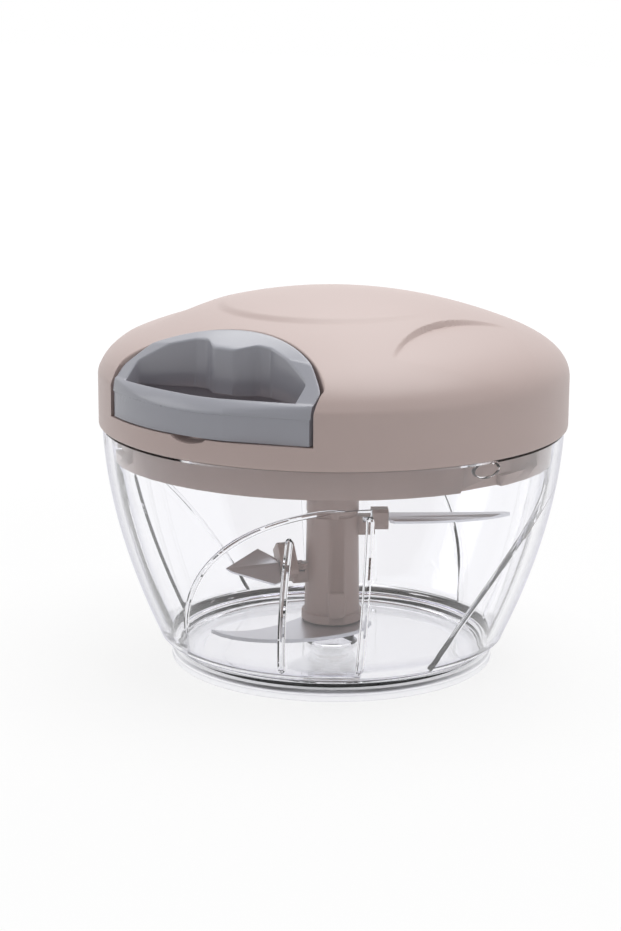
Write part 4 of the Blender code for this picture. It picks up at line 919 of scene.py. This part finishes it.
# %% Knot seat and cord bore
KNOT_SEAT = 2.6 * MM
KNOT_SEAT_REACH = 6.4 * MM
KNOT_SEAT_TOP = CORD_HEIGHT + 2.3 * MM
KNOT_SEAT_DEPTH = 20 * MM
CORD_BORE = 1.25 * MM
bpy.ops.mesh.primitive_cylinder_add(vertices=32, radius=KNOT_SEAT, depth=KNOT_SEAT_DEPTH)
seat = bpy.context.object
seat.data.transform(Matrix.Translation((
    0, -HANDLE_BACK - KNOT_SEAT_REACH, KNOT_SEAT_TOP - KNOT_SEAT_DEPTH / 2)))
combined(handle, seat, "DIFFERENCE")
combined(handle, hole_along_y(CORD_BORE, 8 * MM, -HANDLE_BACK - 3 * MM, 24), "DIFFERENCE")
finished(handle, "handle", grey_abs, ["pull_handle"], edge=40)

# %% [markdown]
# ## The bowl
# The bowl is a thin clear shell on a short neck. Its inner wall carries four swept panels that make
# the swirl, with slim ribs that break up what's chopped, and three nubs under the rim that the
# lid's channels turn onto. The shell is spun; the panels, ribs and nubs are joined to it.

# %% Bowl sizes and wall line
BOWL_RIM_RADIUS = 61.6 * MM
BOWL_RIM = 64.3 * MM
BOWL_WALL = 2.2 * MM
BOWL_LIP = 0.4 * MM
BOWL_HEEL_RADIUS = 47 * MM
BOWL_HEEL = 8.5 * MM
BOWL_NECK_RADIUS = 41.2 * MM
BOWL_BOTTOM = 1.5 * MM
BOWL_FLOOR = 4.2 * MM
BOSS_TOP = 7.2 * MM
SWIRL_COUNT = 4
SWIRL_ANGLE = math.radians(44)
SWIRL_SPAN = math.radians(64)
SWIRL_TOP = 54.5 * MM
SWIRL_BOTTOM = 7.4 * MM
SWIRL_STEP = 1.2 * MM
NUB_COUNT = 3
NUB_ANGLE = math.radians(74.5)

drop = BOWL_RIM_RADIUS - BOWL_HEEL_RADIUS
span = BOWL_RIM - BOWL_HEEL
WALL_LINE = bezier(
    (BOWL_RIM_RADIUS, BOWL_RIM), (BOWL_RIM_RADIUS - drop * 0.055, BOWL_RIM - span * 0.345),
    (BOWL_HEEL_RADIUS + drop * 0.55, BOWL_HEEL + span * 0.314), (BOWL_HEEL_RADIUS, BOWL_HEEL), 120)


def bowl_wall(height):
    """Outer radius of the bowl at a height."""
    return float(np.interp(-height, [-p[1] for p in WALL_LINE], [p[0] for p in WALL_LINE]))


# %% [markdown]
# The shell's line starts at the rim's outside, goes down the wall, round the heel and under the neck
# to the axis, and comes back up over the boss, the floor and the wall's inside.

# %% Bowl shell


def bowl_shell():
    outer = [(bowl_wall(z), z) for z in np.linspace(BOWL_RIM - BOWL_LIP, BOWL_HEEL, 34)]
    heel = [
        (46.7 * MM, 7.6 * MM), (46.1 * MM, 6.9 * MM), (45.0 * MM, 6.2 * MM), (43.2 * MM, 5.7 * MM),
        (41.9 * MM, 5.3 * MM), (41.3 * MM, 4.8 * MM), (BOWL_NECK_RADIUS, 4.2 * MM),
        (BOWL_NECK_RADIUS, BOWL_BOTTOM + 0.3 * MM), (BOWL_NECK_RADIUS - 0.3 * MM, BOWL_BOTTOM),
        (0, BOWL_BOTTOM),
    ]
    inner_low = BOWL_HEEL + 2.4 * MM
    inside = bowl_wall(inner_low) - BOWL_WALL
    boss = [
        (0, BOSS_TOP), (5.0 * MM, BOSS_TOP), (5.6 * MM, BOSS_TOP - 0.2 * MM),
        (5.9 * MM, BOSS_TOP - 0.7 * MM), (6.3 * MM, BOWL_FLOOR + 0.4 * MM), (7.0 * MM, BOWL_FLOOR),
    ]
    corner = bezier(
        (inside - 9 * MM, BOWL_FLOOR), (inside - 3.6 * MM, BOWL_FLOOR),
        (inside - 0.9 * MM, BOWL_FLOOR + 2.2 * MM), (inside, inner_low), 14)
    heights = np.linspace(inner_low + 1.5 * MM, BOWL_RIM - BOWL_LIP, 34)
    wall = [(bowl_wall(z) - BOWL_WALL, z) for z in heights]
    lip = [(BOWL_RIM_RADIUS - BOWL_WALL + BOWL_LIP, BOWL_RIM), (BOWL_RIM_RADIUS - BOWL_LIP, BOWL_RIM)]
    return spun("bowl_shell", lip[1:] + outer + heel + boss + corner + wall + lip[:1], 256)


bowl = bowl_shell()
print("bowl shell:", len(bowl.data.polygons), "faces")

# %% [markdown]
# A panel is a piece of a second, thinner skin that follows the inner wall 1.2 mm further in. It's cut
# to shape by a flat outline pulled outwards: upright on one side, swept over and down on the other.
# The sweep is a Bezier, given as an angle round the bowl and a height.

# %% Swirl panels
SWEEP = bezier(
    (0, SWIRL_TOP), (-0.42 * SWIRL_SPAN, SWIRL_TOP),
    (-0.75 * SWIRL_SPAN, SWIRL_BOTTOM + 0.67 * (SWIRL_TOP - SWIRL_BOTTOM)), (-SWIRL_SPAN, SWIRL_BOTTOM), 40)


def swirl_outline(middle):
    upright = [(0, z) for z in np.linspace(SWIRL_BOTTOM, SWIRL_TOP, 20)[:-1]]
    return [((bowl_wall(z) - BOWL_WALL) * math.sin(a - middle), z) for a, z in upright + SWEEP]


def swirl_panels():
    middle = -SWIRL_SPAN * 0.45
    low = SWIRL_BOTTOM - 3 * MM
    heights = np.linspace(low, SWIRL_TOP + 3 * MM, 30)
    outer = [(bowl_wall(z) - BOWL_WALL / 2, z) for z in reversed(heights)]
    inner = [(bowl_wall(z) - BOWL_WALL - SWIRL_STEP, z) for z in heights]
    skin = spun("panel_skin", outer + inner, 256)
    outline = swirl_outline(middle)
    panels = []
    for i in range(SWIRL_COUNT):
        panel = skin.copy()
        panel.data = skin.data.copy()
        bpy.context.collection.objects.link(panel)
        turn = 2 * math.pi * i / SWIRL_COUNT
        sail = wall_prism("sail", outline, 25 * MM, 66 * MM, SWIRL_ANGLE + middle + turn)
        panels.append(combined(panel, sail, "INTERSECT"))
    bpy.data.objects.remove(skin)
    return panels


# %% [markdown]
# A panel's swept side ends in a rounded bead, which draws the bright and dark line of the swirl. A
# bead and a rib are both round bars half sunk in the wall. A curve with a bevel gives a bar, and a
# smaller radius at the curve's ends rounds it off.

# %% Round bars and the swept bead
BEAD_RADIUS = 0.85 * MM
BEAD_INSET = BOWL_WALL + SWIRL_STEP * 0.55


def round_bar(places, thickness):
    """A round bar with rounded ends through places given as radius, angle and height."""
    curve = bpy.data.curves.new("round_bar", "CURVE")
    curve.dimensions = "3D"
    curve.bevel_depth = thickness
    curve.bevel_resolution = 4
    curve.use_fill_caps = True
    spline = curve.splines.new("POLY")
    spline.points.add(len(places) - 1)
    last = len(places) - 1
    for i, (point, (radius, angle, z)) in enumerate(zip(spline.points, places)):
        point.co = (radius * math.sin(angle), -radius * math.cos(angle), z, 1)
        point.radius = (0.25, 0.6, 0.87, 1.0)[min(i, last - i, 3)]
    item = bpy.data.objects.new("round_bar", curve)
    bpy.context.collection.objects.link(item)
    only(item)
    bpy.ops.object.convert(target="MESH")
    return welded(bpy.context.object)


def sweep_bead(turn):
    """The rounded edge that the swept side of a panel ends in."""
    angles = [a for a, z in SWEEP][3:-2]
    heights = [z for a, z in SWEEP][3:-2]
    places = [(bowl_wall(z) - BEAD_INSET, SWIRL_ANGLE + turn + a, z) for a, z in zip(angles, heights)]
    return round_bar(places, BEAD_RADIUS)


for panel in swirl_panels():
    combined(bowl, panel, "UNION")
for i in range(SWIRL_COUNT):
    combined(bowl, sweep_bead(2 * math.pi * i / SWIRL_COUNT), "UNION")
print("bowl with panels:", len(bowl.data.polygons), "faces")

# %% [markdown]
# Each panel has two ribs, one along its upright edge and a shorter, slanted one across its middle.
# A nub is an oval pad on the wall's inside, just under the rim.

# %% Ribs and nubs
RIB_RADIUS = 1.1 * MM
RIB_INSET = BOWL_WALL + SWIRL_STEP * 0.6
RIB_OFFSET = math.radians(19.5)
RIB_SLANT = math.radians(6)
RIB_LOW = SWIRL_BOTTOM + 0.6 * MM
RIB_HIGH = SWIRL_TOP - 1.5 * MM
SHORT_RIB_HIGH = SWIRL_TOP - 7.5 * MM
NUB_HALF_WIDTH = 4.1 * MM
NUB_HALF_HEIGHT = 2.1 * MM
NUB_DROP = 2.3 * MM
NUB_ROWS = ((57.35 * MM, 0.82), (57.6 * MM, 0.93), (58.1 * MM, 1.0), (60.4 * MM, 1.0))


def rib(angle, low, high, slant=0.0):
    places = []
    for share in [0, 0.008, 0.02, 0.035] + list(np.linspace(0.06, 0.94, 14)) + [0.965, 0.98, 0.992, 1]:
        z = low + (high - low) * share
        places.append((bowl_wall(z) - RIB_INSET, angle - slant * (1 - share), z))
    return round_bar(places, RIB_RADIUS)


def nub(angle):
    middle = BOWL_RIM - NUB_DROP
    rows = []
    for reach, share in NUB_ROWS:
        rows.append([
            (NUB_HALF_WIDTH * share * math.cos(t), -reach, middle + NUB_HALF_HEIGHT * share * math.sin(t))
            for t in np.linspace(0, 2 * math.pi, 40, endpoint=False)
        ])
    return turned_to(loft("nub", rows), angle)


for i in range(SWIRL_COUNT):
    upright = SWIRL_ANGLE + 2 * math.pi * i / SWIRL_COUNT
    combined(bowl, rib(upright, RIB_LOW, RIB_HIGH), "UNION")
    combined(bowl, rib(upright - RIB_OFFSET, RIB_LOW, SHORT_RIB_HIGH, RIB_SLANT), "UNION")
for i in range(NUB_COUNT):
    combined(bowl, nub(NUB_ANGLE + 2 * math.pi * i / NUB_COUNT), "UNION")
finished(bowl, "bowl", clear_san, ["bowl"], edge=25)

# %% [markdown]
# ## The foot ring
# A soft clear ring is pressed over the bowl's neck. It has a broad sole, a rounded edge and a low
# upstand, and it's spun in one go.

# %% Foot ring
foot = spun("foot_ring_soft", [
    (41.5 * MM, 3.4 * MM), (42.8 * MM, 3.4 * MM), (43.05 * MM, 3.25 * MM), (43.15 * MM, 3.0 * MM),
    (43.15 * MM, 2.3 * MM), (43.2 * MM, 2.15 * MM), (43.5 * MM, 1.9 * MM), (43.5 * MM, 0.7 * MM),
    (43.4 * MM, 0.35 * MM), (43.1 * MM, 0.1 * MM), (42.7 * MM, 0), (35 * MM, 0), (35 * MM, 1.2 * MM),
    (41.5 * MM, 1.2 * MM)], 256)
finished(foot, "bowl", milky_tpe, ["foot_ring"])

# %% [markdown]
# ## CAD pieces that keep their shape
# What's inside the lid is right as the CAD model has it, and gets a material. The skirt and the
# gasket show through the clear rim, so welded copies of them are shaded smooth between their real
# edges.

# %% Welded copies


def smooth_copy(node, body, material, edge=30):
    """A welded, smooth-shaded copy of a CAD node that stands for it."""
    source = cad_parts[node]
    item = bpy.data.objects.new(node + "_smooth", source.data.copy())
    bpy.context.collection.objects.link(item)
    item.data.materials.clear()
    welded(item)
    return finished(item, body, material, [node], edge)


smooth_copy("lid_base", "lid", shaded_skirt_abs)
smooth_copy("seal_ring", "seal", silicone_rubber)

# %% [markdown]
# The blade shaft is a welded copy too. Its foot gets crisper edges than the CAD model has: a plate
# with a lug on it, and a groove that marks the collar. What they stand for is turned away first.

# %% Blade shaft
SHAFT_FOOT = 8.3 * MM
PLATE_BOTTOM = 10.6 * MM
PLATE_TOP = 13.2 * MM
LUG_WIDTH = 4.8 * MM
LUG_TOP = 19.6 * MM
LUG_ROUND = 0.9 * MM
LUG_ANGLE = math.radians(45)
LUG_ROWS = (
    (5.5 * MM, 0), (SHAFT_FOOT - 0.5 * MM, 0), (SHAFT_FOOT - 0.2 * MM, 0.12 * MM), (SHAFT_FOOT, 0.4 * MM))
shaft = smooth_copy("blade_shaft", "blades", shaded_shaft_abs)


def band(name, near, far, low, high, edge=0.0):
    """A ring round the shaft's axis, with its outer edges chamfered."""
    return spun(name, [
        (near, low), (far - edge, low), (far, low + edge), (far, high - edge), (far - edge, high),
        (near, high)], 128)


def lug():
    """An upright pad with rounded corners, standing on the plate."""
    low = PLATE_TOP - 0.6 * MM
    rows = []
    for reach, inset in LUG_ROWS:
        half = LUG_WIDTH / 2 - inset
        high = LUG_TOP - inset
        outline = rounded([(-half, low), (half, low), (half, high), (-half, high)], LUG_ROUND)
        rows.append([(x, -reach, z) for x, z in outline])
    return turned_to(loft("lug", rows), LUG_ANGLE)


combined(shaft, band("foot_room", 7.5 * MM, 12 * MM, 9 * MM, LUG_TOP + 0.5 * MM), "DIFFERENCE")
combined(shaft, band("collar_groove", 6.7 * MM, 8.5 * MM, 39.55 * MM, 40.1 * MM), "DIFFERENCE")
combined(shaft, band("foot_plate", 5.5 * MM, SHAFT_FOOT, PLATE_BOTTOM, PLATE_TOP, 0.25 * MM), "UNION")
combined(shaft, lug(), "UNION")
only(shaft)
bpy.ops.object.shade_smooth_by_angle(angle=math.radians(30))
print("blade shaft:", len(shaft.data.polygons), "faces")

# %% [markdown]
# The blades are copies whose shading breaks at the ground edge. The pieces inside the lid, the pin
# and the ring stay as they are, and only get their finish.

# %% Blades and inner finishes
for blade in ("upper_blade", "middle_blade", "lower_blade"):
    smooth_copy(blade, "blades", blade_steel, 20)

INNER_FINISHES = {
    "spring_plate": white_acetal, "reel": white_acetal, "drive_shaft": white_acetal,
    "clock_spring": blued_steel, "centre_pin": bright_steel, "blade_retainer": bright_steel,
    "cord_eyelet": bright_steel, "reel_screw": bright_steel,
    "cord_turns": polyester_braid, "cord_lead": polyester_braid, "cord_knot": polyester_braid,
}
for node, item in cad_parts.items():
    finish = INNER_FINISHES.get(node, bright_steel if "screw" in node else None)
    if finish:
        item.data.materials.clear()
        item.data.materials.append(finish)

# %% [markdown]
# ## The drawn cord
# When the handle is pulled, the cord comes out of the eyelet behind it. At rest that stretch is only
# half a millimetre, in the gap behind the handle. It's a straight cord with many rings.

# %% Drawn cord
DRAW_START = -37.55 * MM
DRAW_END = -38.05 * MM
DRAW_RINGS = 140
rows = []
for i in range(DRAW_RINGS + 1):
    y = DRAW_START + (DRAW_END - DRAW_START) * i / DRAW_RINGS
    rows.append([(CORD_RADIUS * math.cos(t), y, CORD_HEIGHT + CORD_RADIUS * math.sin(t))
                 for t in np.linspace(0, 2 * math.pi, 16, endpoint=False)])
drawn = loft("drawn_cord", rows)
drawn.data.materials.append(polyester_braid)
bpy.ops.object.shade_smooth_by_angle(angle=math.radians(40))
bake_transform(drawn)
print("drawn cord:", len(drawn.data.polygons), "faces")
